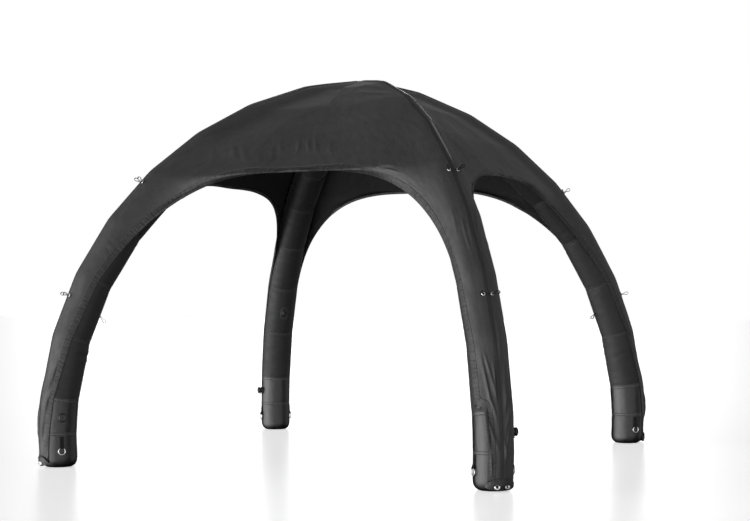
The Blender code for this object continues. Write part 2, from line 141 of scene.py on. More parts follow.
class NodeGraph:
    """A node tree, and short calls to fill it."""

    def __init__(self, tree: bpy.types.NodeTree) -> None:
        """Take a tree to fill."""
        self.tree = tree

    def add(self, kind: str, inputs: dict[str, object] | None = None, **settings: object) -> bpy.types.Node:
        """Add a node.

        Args:
            kind: The node's type, without the words that every type starts with.
            inputs: What goes into its inputs, by name: another node's output or a value.
            settings: Values of the node's own properties.

        Returns:
            The new node.
        """
        node = self.tree.nodes.new("ShaderNode" + kind)
        for key, value in settings.items():
            setattr(node, key, value)
        for key, value in (inputs or {}).items():
            self.feed(node.inputs[key], value)
        return node

    def feed(self, socket: Socket, value: object) -> None:
        """Give an input another node's output or a value.

        Args:
            socket: The input.
            value: The output or the value.
        """
        if isinstance(value, Socket):
            self.tree.links.new(value, socket)
        else:
            socket.default_value = value

    def math(self, operation: str, first: object, second: object = 0.0, third: object = 0.0) -> Socket:
        """Add a math node.

        Args:
            operation: The operation's name.
            first: A socket or a number.
            second: A socket or a number.
            third: A socket or a number, for operations with three inputs.

        Returns:
            The node's output.
        """
        node = self.add("Math", operation=operation)
        for socket, value in zip(node.inputs, (first, second, third)):
            self.feed(socket, value)
        return node.outputs[0]

    def ramp(self, value: Socket, low: float, high: float, bottom: float, top: float,
             kind: str = "LINEAR") -> Socket:
        """Map a value from one range to another, clamped."""
        limits = {"Value": value, "From Min": low, "From Max": high, "To Min": bottom, "To Max": top}
        return self.add("MapRange", limits, interpolation_type=kind).outputs["Result"]


class Surface(NodeGraph):
    """The nodes of a material round its one Principled shader."""

    def __init__(self, name: str) -> None:
        """Start an empty material.

        Args:
            name: The material's name.
        """
        self.material = bpy.data.materials.new(name)
        self.material.use_nodes = True
        super().__init__(self.material.node_tree)
        self.shader = self.tree.nodes["Principled BSDF"]

    def uv(self, layer: str) -> Socket:
        """Coordinates of a UV layer, in metres."""
        return self.add("UVMap", uv_map=layer).outputs["UV"]

    def place(self) -> Socket:
        """Coordinates in the object's own frame, in metres."""
        return self.add("TexCoord").outputs["Object"]

    def parts(self, vector: Socket) -> list[Socket]:
        """The three parts of a coordinate."""
        return list(self.add("SeparateXYZ", {"Vector": vector}).outputs)

    def stretched(self, vector: Socket, scale: Triple) -> Socket:
        """Scale a coordinate differently on each axis."""
        return self.add("Mapping", {"Vector": vector, "Scale": scale}).outputs["Vector"]

    def noise(self, vector: Socket, scale: float, detail: float, roughness: float = 0.5,
              kind: str = "FBM") -> Socket:
        """Noise at a coordinate, with its features per metre, its octaves and each finer octave's share."""
        inputs = {"Vector": vector, "Scale": scale, "Detail": detail, "Roughness": roughness}
        return self.add("TexNoise", inputs, noise_type=kind).outputs["Fac"]

    def wave(self, place: Socket, pitch: float) -> Socket:
        """Sine wave along a distance."""
        return self.math("SINE", self.math("MULTIPLY", place, TURN / pitch))

    def mix(self, factor: Socket, first: object, second: object) -> Socket:
        """Mix two colours.

        Args:
            factor: Share of the second colour.
            first: A socket or three numbers.
            second: A socket or three numbers.

        Returns:
            The mixed colour.
        """
        node = self.add("Mix", {"Factor": factor}, data_type="RGBA")
        for key, value in (("A", first), ("B", second)):
            socket = next(s for s in node.inputs if s.name == key and s.type == "RGBA")
            self.feed(socket, value if isinstance(value, Socket) else (*value, 1.0))
        return next(s for s in node.outputs if s.type == "RGBA")

    def weave(self, vector: Socket, pitch: float) -> Socket:
        """Plain weave of a cloth whose threads lie a pitch apart, from 0 to 1."""
        warp, weft = (self.wave(part, pitch) for part in self.parts(vector)[:2])
        return self.math("MULTIPLY_ADD", self.math("MULTIPLY", warp, weft), 0.5, 0.5)

    def gathers(self, width: float) -> Socket:
        """Small ribs across a gathered hem."""
        place = self.uv("hem")
        inside = self.ramp(self.parts(place)[0], width, width - 0.004, 0.0, 1.0)
        return self.math("MULTIPLY", inside, self.noise(self.stretched(place, (14.0, 70.0, 1.0)), 1.0, 2.0))

    def sewn(self, rows: tuple[float, ...], colour: Socket, thread: Triple, relief: Relief) -> Socket:
        """Sew rows of stitches into a cloth.

        Args:
            rows: Each row's distance from the seam or the hem's edge; none leaves the cloth as it is.
            colour: The cloth's colour.
            thread: The thread's colour.
            relief: The cloth's relief, to which the stitches are added.

        Returns:
            The colour of the cloth with its stitches.
        """
        if not rows:
            return colour
        across, along, _ = self.parts(self.uv("hem"))
        dash = self.math("GREATER_THAN", self.wave(along, STITCH), -0.4)
        total = self.math("COMPARE", across, rows[0], THREAD / 2)
        for row in rows[1:]:
            total = self.math("MAXIMUM", total, self.math("COMPARE", across, row, THREAD / 2))
        stitches = self.math("MULTIPLY", total, dash)
        relief.append((stitches, 0.0006))
        return self.mix(stitches, colour, thread)

    def finish(self, colour: Socket, roughness: Socket, relief: Relief, **plain: float) -> Material:
        """Join colour, roughness and relief to the shader.

        Args:
            colour: The colour.
            roughness: The roughness.
            relief: Pairs of a height from 0 to 1 and what it is worth in metres.
            plain: Values that are the same all over the surface, with _ for a space in the input's name.

        Returns:
            The material.
        """
        self.feed(self.shader.inputs["Base Color"], colour)
        self.feed(self.shader.inputs["Roughness"], roughness)
        for key, value in plain.items():
            self.shader.inputs[key.replace("_", " ")].default_value = value
        below: dict[str, object] = {}
        for height, distance in relief:
            normal = self.add("Bump", {"Height": height, "Distance": distance, **below}).outputs["Normal"]
            below = {"Normal": normal}
        self.feed(self.shader.inputs["Normal"], normal)
        return self.material


@dataclass(frozen=True)
class CoatedCloth:
    """Black coated polyester: woven, softly crinkled, with a slight sheen, and painted shade in the gathers of
    its hem.
    """

    name: str
    dark: Triple
    light: Triple
    rough: Pair
    sheen: float
    specular: float
    crinkle: float
    stitch_rows: tuple[float, ...] = ()
    thread: Triple = (0.075, 0.075, 0.078)
    hem: float = 0.0
    thread_pitch: float = 0.0011
    gather_depth: float = 0.006
    # How dark the painted shade in the hem's gathers is, as a share of the cloth's dark tone.
    gather_painted_shade: float = 0.42

    def material(self) -> Material:
        """Build the cloth's material.

        Returns:
            The material.
        """
        graph = Surface(self.name)
        cloth = graph.uv("cloth")
        patches, fine = graph.noise(cloth, 2.2, 3.0), graph.noise(cloth, 60.0, 3.0)
        tone = graph.math("MULTIPLY_ADD", fine, 0.35, graph.math("MULTIPLY", patches, 0.65))
        colour = graph.mix(graph.ramp(tone, 0.35, 0.65, 0.0, 1.0), self.dark, self.light)
        crinkle = graph.noise(graph.stretched(cloth, (1.0, 0.45, 1.0)), 26.0, 4.0, 0.55)
        creases = graph.noise(graph.stretched(cloth, (1.0, 0.3, 1.0)), 9.0, 3.0, 0.5, "RIDGED_MULTIFRACTAL")
        relief = [(graph.ramp(creases, 0.6, 1.6, 0.0, 1.0), self.crinkle), (crinkle, self.crinkle * 1.2),
                  (graph.weave(cloth, self.thread_pitch), 0.00006)]
        colour = graph.sewn(self.stitch_rows, colour, self.thread, relief)
        if self.hem:
            gathers = graph.gathers(self.hem)
            # Painted shade: the cloth is darkened in the gathers of the hem, where shade falls between the
            # ribs.
            shade = tuple(self.gather_painted_shade * part for part in self.dark)
            colour = graph.mix(graph.ramp(gathers, 0.1, 0.75, 0.0, 1.0), colour, shade)
            relief.append((gathers, self.gather_depth))
        return graph.finish(colour, graph.ramp(crinkle, 0.3, 0.7, *self.rough), relief, Sheen_Weight=self.sheen,
                            Sheen_Roughness=0.45, Specular_IOR_Level=self.specular)


@dataclass(frozen=True)
class Vinyl:
    """Black vinyl-coated cloth: finely grained, with soft dents that break up its highlights."""

    name: str
    dark: Triple
    light: Triple
    rough: Pair
    stitch_rows: tuple[float, ...] = ()
    thread: Triple = (0.11, 0.11, 0.11)

    def material(self) -> Material:
        """Build the vinyl's material.

        Returns:
            The material.
        """
        graph = Surface(self.name)
        place = graph.place()
        dents = graph.noise(graph.stretched(place, (1.0, 1.0, 0.6)), 22.0, 3.0)
        grain = graph.noise(place, 700.0, 2.0)
        scuffs = graph.noise(graph.stretched(place, (1.0, 1.0, 4.0)), 35.0, 4.0, 0.6)
        colour = graph.mix(graph.ramp(scuffs, 0.4, 0.7, 0.0, 1.0), self.dark, self.light)
        relief = [(dents, 0.0009), (grain, 0.00003)]
        colour = graph.sewn(self.stitch_rows, colour, self.thread, relief)
        return graph.finish(colour, graph.ramp(scuffs, 0.3, 0.75, *self.rough), relief, Specular_IOR_Level=0.5)


@dataclass(frozen=True)
class WovenTape:
    """Black webbing with a twill that runs to the middle from both edges."""

    name: str
    dark: Triple = (0.004, 0.004, 0.0044)
    light: Triple = (0.013, 0.013, 0.0135)
    pitch: float = 0.0016

    def material(self) -> Material:
        """Build the webbing's material.

        Returns:
            The material.
        """
        graph = Surface(self.name)
        across, along, _ = graph.parts(graph.uv("cloth"))
        slant = graph.math("ADD", graph.math("ABSOLUTE", across), along)
        twill = graph.math("MULTIPLY_ADD", graph.wave(slant, self.pitch), 0.5, 0.5)
        fuzz = graph.noise(graph.place(), 900.0, 2.0)
        colour = graph.mix(graph.math("MULTIPLY", twill, fuzz), self.dark, self.light)
        return graph.finish(colour, graph.ramp(fuzz, 0.3, 0.7, 0.7, 0.9), [(twill, 0.0003), (fuzz, 0.0001)],
                            Sheen_Weight=0.04, Specular_IOR_Level=0.3)


@dataclass(frozen=True)
class Moulded:
    """Black moulded plastic with a fine spark-eroded grain."""

    name: str
    fresh: Triple = (0.008, 0.008, 0.0085)
    worn: Triple = (0.016, 0.016, 0.0168)

    def material(self) -> Material:
        """Build the plastic's material.

        Returns:
            The material.
        """
        graph = Surface(self.name)
        place = graph.place()
        grain, marks = graph.noise(place, 1400.0, 2.0), graph.noise(place, 120.0, 4.0, 0.6)
        colour = graph.mix(graph.ramp(marks, 0.45, 0.7, 0.0, 1.0), self.fresh, self.worn)
        return graph.finish(colour, graph.ramp(marks, 0.3, 0.7, 0.34, 0.5), [(grain, 0.00008)])


@dataclass(frozen=True)
class PlatedSteel:
    """Bright plated steel with faint polishing marks."""

    name: str
    bright: Triple = (0.78, 0.78, 0.79)
    dull: Triple = (0.58, 0.58, 0.60)

    def material(self) -> Material:
        """Build the steel's material.

        Returns:
            The material.
        """
        graph = Surface(self.name)
        marks = graph.noise(graph.stretched(graph.place(), (1.0, 1.0, 6.0)), 260.0, 4.0, 0.6)
        colour = graph.mix(graph.ramp(marks, 0.4, 0.8, 0.0, 1.0), self.bright, self.dull)
        return graph.finish(colour, graph.ramp(marks, 0.3, 0.8, 0.3, 0.44), [(marks, 0.00004)], Metallic=1.0)


@dataclass(frozen=True)
class StudioFloor:
    """Plain pale studio floor with a soft reflection."""

    name: str = "studio_floor"
    shade: float = 0.95
    glow: float = 0.53

    def material(self) -> Material:
        """Build the floor's material.

        Returns:
            The material.
        """
        graph = Surface(self.name)
        values = {"Base Color": (self.shade, self.shade, self.shade, 1.0), "Roughness": 0.3,
                  "Specular IOR Level": 0.3, "Emission Color": (1.0, 1.0, 1.0, 1.0),
                  "Emission Strength": self.glow}
        for key, value in values.items():
            graph.shader.inputs[key].default_value = value
        return graph.material


@dataclass(frozen=True)
class Finish:
    """A material and the record's slot that it belongs to."""

    material: Material
    slot: Slot


class Finishes:
    """Every finish of the tent, made once."""

    def __init__(self) -> None:
        """Make the materials."""
        cloths = (
            CoatedCloth("cover_cloth", (0.019, 0.019, 0.0195), (0.027, 0.027, 0.0275), (0.5, 0.66), 0.12, 0.52,
                        0.0017, (0.004, 0.044), hem=0.046),
            # The cloth's inner face: duller than the outer face, and darker in colour, a painted shade for the
            # shade under the canopy.
            CoatedCloth("cover_lining", (0.015, 0.015, 0.0154), (0.021, 0.021, 0.0215), (0.7, 0.85), 0.0, 0.2,
                        0.0008),
            CoatedCloth("ridge_seam_cloth", (0.010, 0.010, 0.0103), (0.015, 0.015, 0.0154), (0.55, 0.7), 0.06,
                        0.40, 0.0006, (-0.005, 0.005), (0.03, 0.03, 0.031)),
            # The ridge tape is lighter than the cover: a painted highlight on the cloth just beside each ridge.
            CoatedCloth("ridge_tape", (0.036, 0.036, 0.0365), (0.050, 0.050, 0.0508), (0.16, 0.21), 0.15, 0.9,
                        0.0006))
        finishes = [Finish(cloth.material(), Slot.COVER) for cloth in cloths]
        self.cover, self.lining, self.ridge, self.ridge_tape = finishes
        cloths = (
            CoatedCloth("tube_cloth", (0.0135, 0.0135, 0.0139), (0.018, 0.018, 0.0185), (0.5, 0.66), 0.12, 0.3,
                        0.0007),
            CoatedCloth("tube_seam_tape", (0.020, 0.020, 0.0205), (0.030, 0.030, 0.0305), (0.5, 0.65), 0.05,
                        0.32, 0.0004, (-0.006, 0.006)))
        self.tube, self.tube_seam = (Finish(c.material(), Slot.TUBE) for c in cloths)
        vinyls = (
            Vinyl("boot_vinyl", (0.008, 0.008, 0.0083), (0.012, 0.012, 0.0123), (0.29, 0.38)),
            Vinyl("boot_seam_vinyl", (0.028, 0.028, 0.0285), (0.040, 0.040, 0.041), (0.3, 0.45),
                  (-0.005, 0.005)),
            Vinyl("flap_vinyl", (0.008, 0.008, 0.0082), (0.013, 0.013, 0.0133), (0.42, 0.58)))
        self.boot, self.boot_seam, self.flap = (Finish(v.material(), Slot.BOOT) for v in vinyls)
        self.webbing = Finish(WovenTape("black_webbing").material(), Slot.WEBBING)
        self.valve = Finish(Moulded("valve_plastic").material(), Slot.VALVE)
        self.steel = Finish(PlatedSteel("bright_steel").material(), Slot.STEEL)


# Leg geometry


def read_off(table: Pairs, place: float) -> float:
    """Value at a place, straight between the pairs of a table and level beyond its ends."""
    return float(np.interp(place, *zip(*table)))


def ease(share: float) -> float:
    """Smooth step from 0 to 1."""
    share = min(max(share, 0.0), 1.0)
    return share * share * (3.0 - 2.0 * share)


def smooth(shares: np.ndarray) -> np.ndarray:
    """Smooth steps from 0 to 1."""
    shares = np.clip(shares, 0.0, 1.0)
    return shares * shares * (3.0 - 2.0 * shares)


def bell(distance: float, width: float) -> float:
    """1 at no distance, falling off smoothly within a few widths."""
    return math.exp(-((distance / width) ** 2))


def turns(count: int) -> list[float]:
    """Angles that divide a full turn evenly."""
    return [TURN * i / count for i in range(count)]


@dataclass(frozen=True)
class LegShape:
    """A leg's arc and its mitred tube, in the leg's frame: X away from the tent's axis, Y round the tent."""

    foot_radius: float = 2.05
    crown_height: float = 2.429
    splay: float = math.radians(4.8)
    tube_radius: float = 0.114
    boot_heights: tuple[float, ...] = (0.0, 0.21, 0.42)
    segments: int = 8
    rounding: float = 0.028     # how far the cloth bridges a mitre, along the leg

    @property
    def bend_radius(self) -> float:
        """Radius of the centre line."""
        rise = self.foot_radius * math.cos(self.splay) + self.crown_height * math.sin(self.splay)
        return (self.foot_radius ** 2 + self.crown_height ** 2) / (2 * rise)

    @property
    def crown_lean(self) -> float:
        """Angle of the centre line from the vertical at the crown."""
        return math.atan2(self.crown_height / self.bend_radius - math.sin(self.splay),
                          math.cos(self.splay) - self.foot_radius / self.bend_radius)

    @property
    def length(self) -> float:
        """Length of the centre line."""
        return self.bend_radius * (self.crown_lean + self.splay)

    @property
    def mitres(self) -> list[float]:
        """Where the seams lie along the leg: the boot's, and then the tube's mitres up to the crown."""
        top = self.boot_heights[-1]
        segment = (self.length - top) / self.segments
        return list(self.boot_heights) + [top + segment * (i + 1) for i in range(self.segments)]

    def lean(self, along: float) -> float:
        """Angle of the leg from the vertical, towards the tent's axis."""
        return along / self.bend_radius - self.splay

    def centre(self, along: float) -> Vector:
        """Point of the leg's centre line."""
        angle = self.lean(along)
        reach = self.foot_radius + self.bend_radius * (math.cos(angle) - math.cos(self.splay))
        return Vector((reach, 0.0, self.bend_radius * (math.sin(angle) + math.sin(self.splay))))

    def outward(self, along: float, turn: float) -> Vector:
        """Direction away from the centre line, turned from the ridge."""
        angle = self.lean(along)
        return Vector((math.cos(turn) * math.cos(angle), math.sin(turn), math.cos(turn) * math.sin(angle)))

    def mitre_normal(self, index: int) -> Vector:
        """Outward direction in a mitre's plane.

        Args:
            index: The mitre's number, from 0 at the foot.

        Returns:
            The direction, as long as the mitre stretches a round tube.
        """
        seams = self.mitres
        if index == 0:
            first = (self.lean(seams[0]) + self.lean(seams[1])) / 2
            return Vector((1.0 / math.cos(first), 0.0, 0.0))
        below = self.lean(seams[index]) - self.lean(seams[index - 1])
        above = self.lean(seams[index + 1]) - self.lean(seams[index]) if index < len(seams) - 1 else below
        angle = self.lean(seams[index]) + (above - below) / 4
        return Vector((math.cos(angle), 0.0, math.sin(angle))) / math.cos((above + below) / 4)

    def skin_point(self, along: float, turn: float, radius: float) -> Vector:
        """Point of the straight tube between two mitres.

        Args:
            along: Distance along the leg.
            turn: Angle from the ridge, towards +Y.
            radius: Distance from the tube's axis.

        Returns:
            The point in the leg's frame.
        """
        seams = MITRES
        index = max(i for i in range(len(seams) - 1) if seams[i] <= along + 1e-9 or i == 0)
        share = (along - seams[index]) / (seams[index + 1] - seams[index])
        ends = []
        for mitre in (index, index + 1):
            reach = radius * (math.cos(turn) * MITRE_NORMALS[mitre] + math.sin(turn) * Vector((0.0, 1.0, 0.0)))
            ends.append(MITRE_CENTRES[mitre] + reach)
        return ends[0].lerp(ends[1], share)

    def cloth_point(self, along: float, turn: float, radius: float) -> Vector:
        """Point of the cloth over the tube, which bridges the mitres' corners a little.

        Args:
            along: Distance along the leg.
            turn: Angle from the ridge, towards +Y.
            radius: Distance from the tube's axis.

        Returns:
            The point in the leg's frame.
        """
        low = max(along - self.rounding, 0.0)
        high = min(along + self.rounding, self.length)
        middle = self.skin_point(along, turn, radius)
        return (self.skin_point(low, turn, radius) + middle * 2 + self.skin_point(high, turn, radius)) / 4


LEG = LegShape()
MITRES = LEG.mitres
MITRE_NORMALS = [LEG.mitre_normal(i) for i in range(len(MITRES))]
MITRE_CENTRES = [LEG.centre(along) for along in MITRES]


# Mesh helpers


@dataclass
class Patch:
    """Points and faces, with each point's place on the cloth and from a hem or a seam, in metres."""

    points: list[Vector] = field(default_factory=list)
    faces: list[tuple[int, ...]] = field(default_factory=list)
    cloth: list[Pair] = field(default_factory=list)
    hem: list[Pair] = field(default_factory=list)

    def add_point(self, point: Vector, cloth: Pair, hem: Pair | None = None) -> None:
        """Add a point with its place on the cloth, and its place from a hem or a seam where that differs."""
        self.points.append(point)
        self.cloth.append(cloth)
        self.hem.append(hem or cloth)

    def add_face(self, corners: tuple[int, ...], side: int) -> None:
        """Add a face, turned over where the side is -1."""
        self.faces.append(corners if side > 0 else corners[::-1])

    def join_rows(self, first: int, rows: int, size: int, closed: bool) -> None:
        """Add faces between rows of points.

        Args:
            first: Number of the first row's first point.
            rows: How many rows there are.
            size: Points in a row.
            closed: Whether each row is a ring.
        """
        for i in range(rows - 1):
            for j in range(size if closed else size - 1):
                a, b = first + i * size + j, first + i * size + (j + 1) % size
                self.faces.append((a, b, b + size, a + size))

    def add_strip(self, rows: list[list[Vector]], closed: bool = False, across: list[float] | None = None,
                  along: list[float] | None = None) -> None:
        """Add a grid of faces.

        Args:
            rows: Rows of points, all of the same length.
            closed: Whether each row is a ring.
            across: Texture coordinate of each row.
            along: Texture coordinate of each point of a row.
        """
        first = len(self.points)
        for i, row in enumerate(rows):
            for j, point in enumerate(row):
                v = along[j] if along else (rows[0][j] - rows[0][0]).length
                self.add_point(point, (across[i] if across else float(i), v))
        self.join_rows(first, len(rows), len(rows[0]), closed)

    def add_solid(self, rings: list[list[Vector]], across: list[float] | None = None,
                  along: list[float] | None = None) -> None:
        """Add a strip of rings with one face over each end."""
        self.add_strip(rings, True, across, along)
        for ring in (rings[0], rings[-1]):
            self.add_cap(ring)

    def add_cap(self, ring: list[Vector]) -> None:
        """Add one face over a ring of new points.

        Args:
            ring: The points.
        """
        first = len(self.points)
        for point in ring:
            self.add_point(point, (point.x, point.y), (1.0, 0.0))
        self.faces.append(tuple(range(first, first + len(ring))))

    def lay_out(self, first: int, places: list[Pair]) -> None:
        """Give the points from a number on their places across and along a seam."""
        self.cloth[first:first + len(places)] = places
        self.hem[first:first + len(places)] = places

    def mesh(self, sharp: float = 180.0, weld: float = 1e-6, recalc: bool = True) -> Mesh:
        """Make the mesh.

        Args:
            sharp: Edges sharper than this many degrees stay sharp.
            weld: Points nearer than this are joined.
            recalc: Whether faces are turned to point outward.

        Returns:
            The mesh data.
        """
        mesh = bpy.data.meshes.new("piece")
        mesh.from_pydata([tuple(p) for p in self.points], [], self.faces)
        indices = np.empty(len(mesh.loops), np.int32)
        mesh.loops.foreach_get("vertex_index", indices)
        for layer, values in (("cloth", self.cloth), ("hem", self.hem)):
            uv = mesh.uv_layers.new(name=layer)
            uv.data.foreach_set("uv", np.array(values, np.float32)[indices].ravel())
        bm = bmesh.new()
        bm.from_mesh(mesh)
        bmesh.ops.remove_doubles(bm, verts=bm.verts[:], dist=weld)
        if recalc:
            bmesh.ops.recalc_face_normals(bm, faces=bm.faces[:])
        bm.to_mesh(mesh)
        bm.free()
        mesh.shade_smooth()
        if sharp < 180.0:
            mesh.set_sharp_from_angle(angle=math.radians(sharp))
        return mesh


def make_piece(name: str, mesh: Mesh, finish: Finish, matrix: Matrix, node: str = "",
               body: str = BODY) -> bpy.types.Object:
    """Make an object of a mesh that rides on a body.

    Args:
        name: The piece's name.
        mesh: Its mesh.
        finish: Its finish.
        matrix: Its place.
        node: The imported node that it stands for, if any.
        body: The body that carries it.

    Returns:
        The object.
    """
    mesh.name = name
    mesh.transform(matrix)
    mesh.materials.append(finish.material)
    obj = bpy.data.objects.new(name, mesh)
    bpy.context.scene.collection.objects.link(obj)
    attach(obj, body)
    if node:
        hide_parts(node)
    LOG.info("%s: %d faces", name, len(mesh.polygons))
    return obj


def circle(radius: float, sides: int, centre: Vector, first: Vector, second: Vector) -> list[Vector]:
    """Points of a circle in the plane of two unit vectors."""
    return [centre + radius * (math.cos(turn) * first + math.sin(turn) * second) for turn in turns(sides)]


def tube_along(patch: Patch, path: list[Vector], radius: float, sides: int, closed: bool = False) -> None:
    """Add a round bar along a path to a patch.

    Args:
        patch: Where it goes.
        path: Points of its centre line.
        radius: Its radius.
        sides: Points round it.
        closed: Whether the path is a loop.
    """
    rings = []
    count = len(path)
    reference = None
    for i, point in enumerate(path):
        before = path[i - 1] if closed or i > 0 else point
        after = path[(i + 1) % count] if closed or i < count - 1 else point
        direction = (after - before).normalized()
        if reference is None:
            reference = direction.orthogonal().normalized()
        reference = (reference - direction * reference.dot(direction)).normalized()
        rings.append(circle(radius, sides, point, reference, direction.cross(reference)))
    if closed:
        patch.add_strip(rings + [rings[0]], closed=True)
    else:
        patch.add_solid(rings)


def ribbon_along(patch: Patch, path: list[Vector], normals: list[Vector], width: float,
                 thickness: float) -> None:
    """Add a flat strap along a path to a patch, with rounded edges.

    Args:
        patch: Where it goes.
        path: Points of the middle of its lower face.
        normals: Direction away from that face at each point.
        width: The strap's width.
        thickness: Its thickness.
    """
    section = ((-0.5, 0.25), (-0.47, 0.0), (0.0, 0.0), (0.47, 0.0), (0.5, 0.25),
               (0.5, 0.75), (0.47, 1.0), (0.0, 1.0), (-0.47, 1.0), (-0.5, 0.75))
    first, count, size = len(patch.points), len(path), len(section)
    travelled = 0.0
    for i, point in enumerate(path):
        before, after = path[max(i - 1, 0)], path[min(i + 1, count - 1)]
        travelled += (point - before).length
        direction = (after - before).normalized()
        up = (normals[i] - direction * normals[i].dot(direction)).normalized()
        side = direction.cross(up)
        for x, z in section:
            patch.add_point(point + side * (x * width) + up * (z * thickness), (x * width, travelled))
    patch.join_rows(first, count, size, closed=True)
    patch.faces.append(tuple(first + j for j in reversed(range(size))))
    patch.faces.append(tuple(first + (count - 1) * size + j for j in range(size)))


def turned(profile: Pairs, sides: int, ribs: int, rib_depth: float, ribbed: Pair) -> Patch:
    """Turned solid with its axis along +Y and its seat at Y = 0.

    Args:
        profile: Pairs of radius and height.
        sides: Points round it.
        ribs: Number of grip ribs.
        rib_depth: How deep the grooves between the ribs are.
        ribbed: Lowest and highest height of the ribs.

    Returns:
        The patch.
    """
    patch = Patch()
    rings = []
    for radius, height in profile:
        ring = []
        for i, angle in enumerate(turns(sides)):
            groove = ribbed[0] <= height <= ribbed[1] and (i * ribs * 2 // sides) % 2 == 1
            reach = radius - rib_depth if groove else radius
            ring.append(Vector((reach * math.cos(angle), height, reach * math.sin(angle))))
        rings.append(ring)
    patch.add_solid(rings)
    return patch


# Cover


@dataclass(frozen=True)
class Fold:
    """A fold of the cloth along a short path on the cover's surface."""

    path: np.ndarray
    width: float
    depth: float
    profile: Profile
    reach: float = 3.2                        # in widths
    fades: Pair = (0.35, 0.45)                # shares of its length over which its two ends fade
    lap_sides: Pair = (1.3, 0.6)              # in widths, of a lap's gentle and steep side

    def heights(self, points: np.ndarray, normals: np.ndarray) -> np.ndarray:
        """Height that the fold adds at each point.

        Args:
            points: The points.
            normals: The cloth's outward direction at each.

        Returns:
            The heights in metres.
        """
        reach = self.reach * self.width
        low, high = self.path.min(0) - reach, self.path.max(0) + reach
        near = np.nonzero(((points > low) & (points < high)).all(1))[0]
        out = np.zeros(len(points))
        if len(near) == 0:
            return out
        places, best = points[near], np.full(len(near), np.inf)
        side, share = np.ones(len(near)), np.zeros(len(near))
        steps = np.linalg.norm(np.diff(self.path, axis=0), axis=1)
        travelled, total = 0.0, max(steps.sum(), 1e-6)
        for start, end, step in zip(self.path[:-1], self.path[1:], steps):
            line = end - start
            t = np.clip(((places - start) @ line) / max(step * step, 1e-12), 0.0, 1.0)
            offset = places - start - t[:, None] * line
            distance = np.linalg.norm(offset, axis=1)
            nearer = distance < best
            best = np.where(nearer, distance, best)
            turn = (np.cross(line, normals[near]) * offset).sum(1)
            side = np.where(nearer, np.sign(turn), side)
            share = np.where(nearer, (travelled + t * step) / total, share)
            travelled += step
        out[near] = self.depth * self._taper(share) * self._section(best, side)
        return out

    def _taper(self, share: np.ndarray) -> np.ndarray:
        """Fade at the fold's ends."""
        return smooth(np.minimum(share / self.fades[0], (1.0 - share) / self.fades[1]))

    def _section(self, distance: np.ndarray, side: np.ndarray) -> np.ndarray:
        """Cross section of the fold.

        Args:
            distance: Distances from the fold's path.
            side: 1 on the gentle side of a lap and -1 on its steep side.

        Returns:
            Shares of the fold's depth.
        """
        width = self.width
        if self.profile is Profile.LAP:
            width = np.where(side > 0, self.lap_sides[0] * self.width, self.lap_sides[1] * self.width)
        return np.exp(-((distance / width) ** 2))


@dataclass(frozen=True)
class Drag:
    """A drawn fold: its points along the leg and across from the ridge seam, in metres."""

    points: Pairs
    width: float
    depth: float
    profile: Profile = Profile.LAP


NEAR_LEFT_DRAGS = (
    Drag(((0.76, 0.092), (0.61, 0.069), (0.5, 0.056), (0.39, 0.026), (0.31, 0.012)), 0.0085, 0.0125),
    Drag(((0.76, 0.07), (0.63, 0.044), (0.54, 0.027), (0.45, 0.018)), 0.0075, 0.0105),
    Drag(((0.7, 0.021), (0.58, 0.022), (0.46, 0.021)), 0.0065, 0.008),
    Drag(((0.42, 0.088), (0.305, 0.049), (0.25, 0.024), (0.2, 0.016)), 0.0085, 0.0125),
    Drag(((0.22, 0.062), (0.13, 0.058), (0.07, 0.052)), 0.007, 0.0105),
    Drag(((0.46, 0.096), (0.33, 0.083), (0.22, 0.072)), 0.009, 0.008),
    Drag(((1.57, 0.048), (1.42, 0.05), (1.29, 0.045)), 0.007, 0.003),
    Drag(((1.645, 0.091), (1.525, 0.093), (1.41, 0.102)), 0.008, 0.003),
    Drag(((1.56, 0.02), (1.43, 0.022), (1.32, 0.028)), 0.006, 0.003),
)
CROWN_DRAGS = (
    Drag(((3.15, 0.229), (3.117, 0.128), (2.998, 0.034)), 0.015, 0.0085),
    Drag(((3.015, 0.28), (2.93, 0.174), (2.873, 0.044)), 0.015, 0.0085),
    Drag(((2.74, 0.481), (2.72, 0.39), (2.71, 0.312)), 0.009, 0.006),
    Drag(((2.7, 0.482), (2.67, 0.396)), 0.009, 0.005),
    Drag(((1.967, 0.558), (2.004, 0.47), (2.023, 0.376)), 0.0065, 0.007),
    Drag(((1.949, 0.516), (1.983, 0.426), (1.97, 0.331)), 0.0065, 0.0065),
    Drag(((1.934, 0.446), (1.91, 0.395), (1.88, 0.346)), 0.006, 0.005),
    Drag(((2.042, 0.586), (2.008, 0.557), (1.979, 0.528)), 0.006, 0.005),
    Drag(((2.34, 0.85), (2.24, 0.865), (2.135, 0.887)), 0.01, 0.0065),
    Drag(((2.363, 0.789), (2.234, 0.812), (2.128, 0.829)), 0.01, 0.0065),
    Drag(((2.282, 0.69), (2.202, 0.727), (2.117, 0.738)), 0.01, 0.006),
)
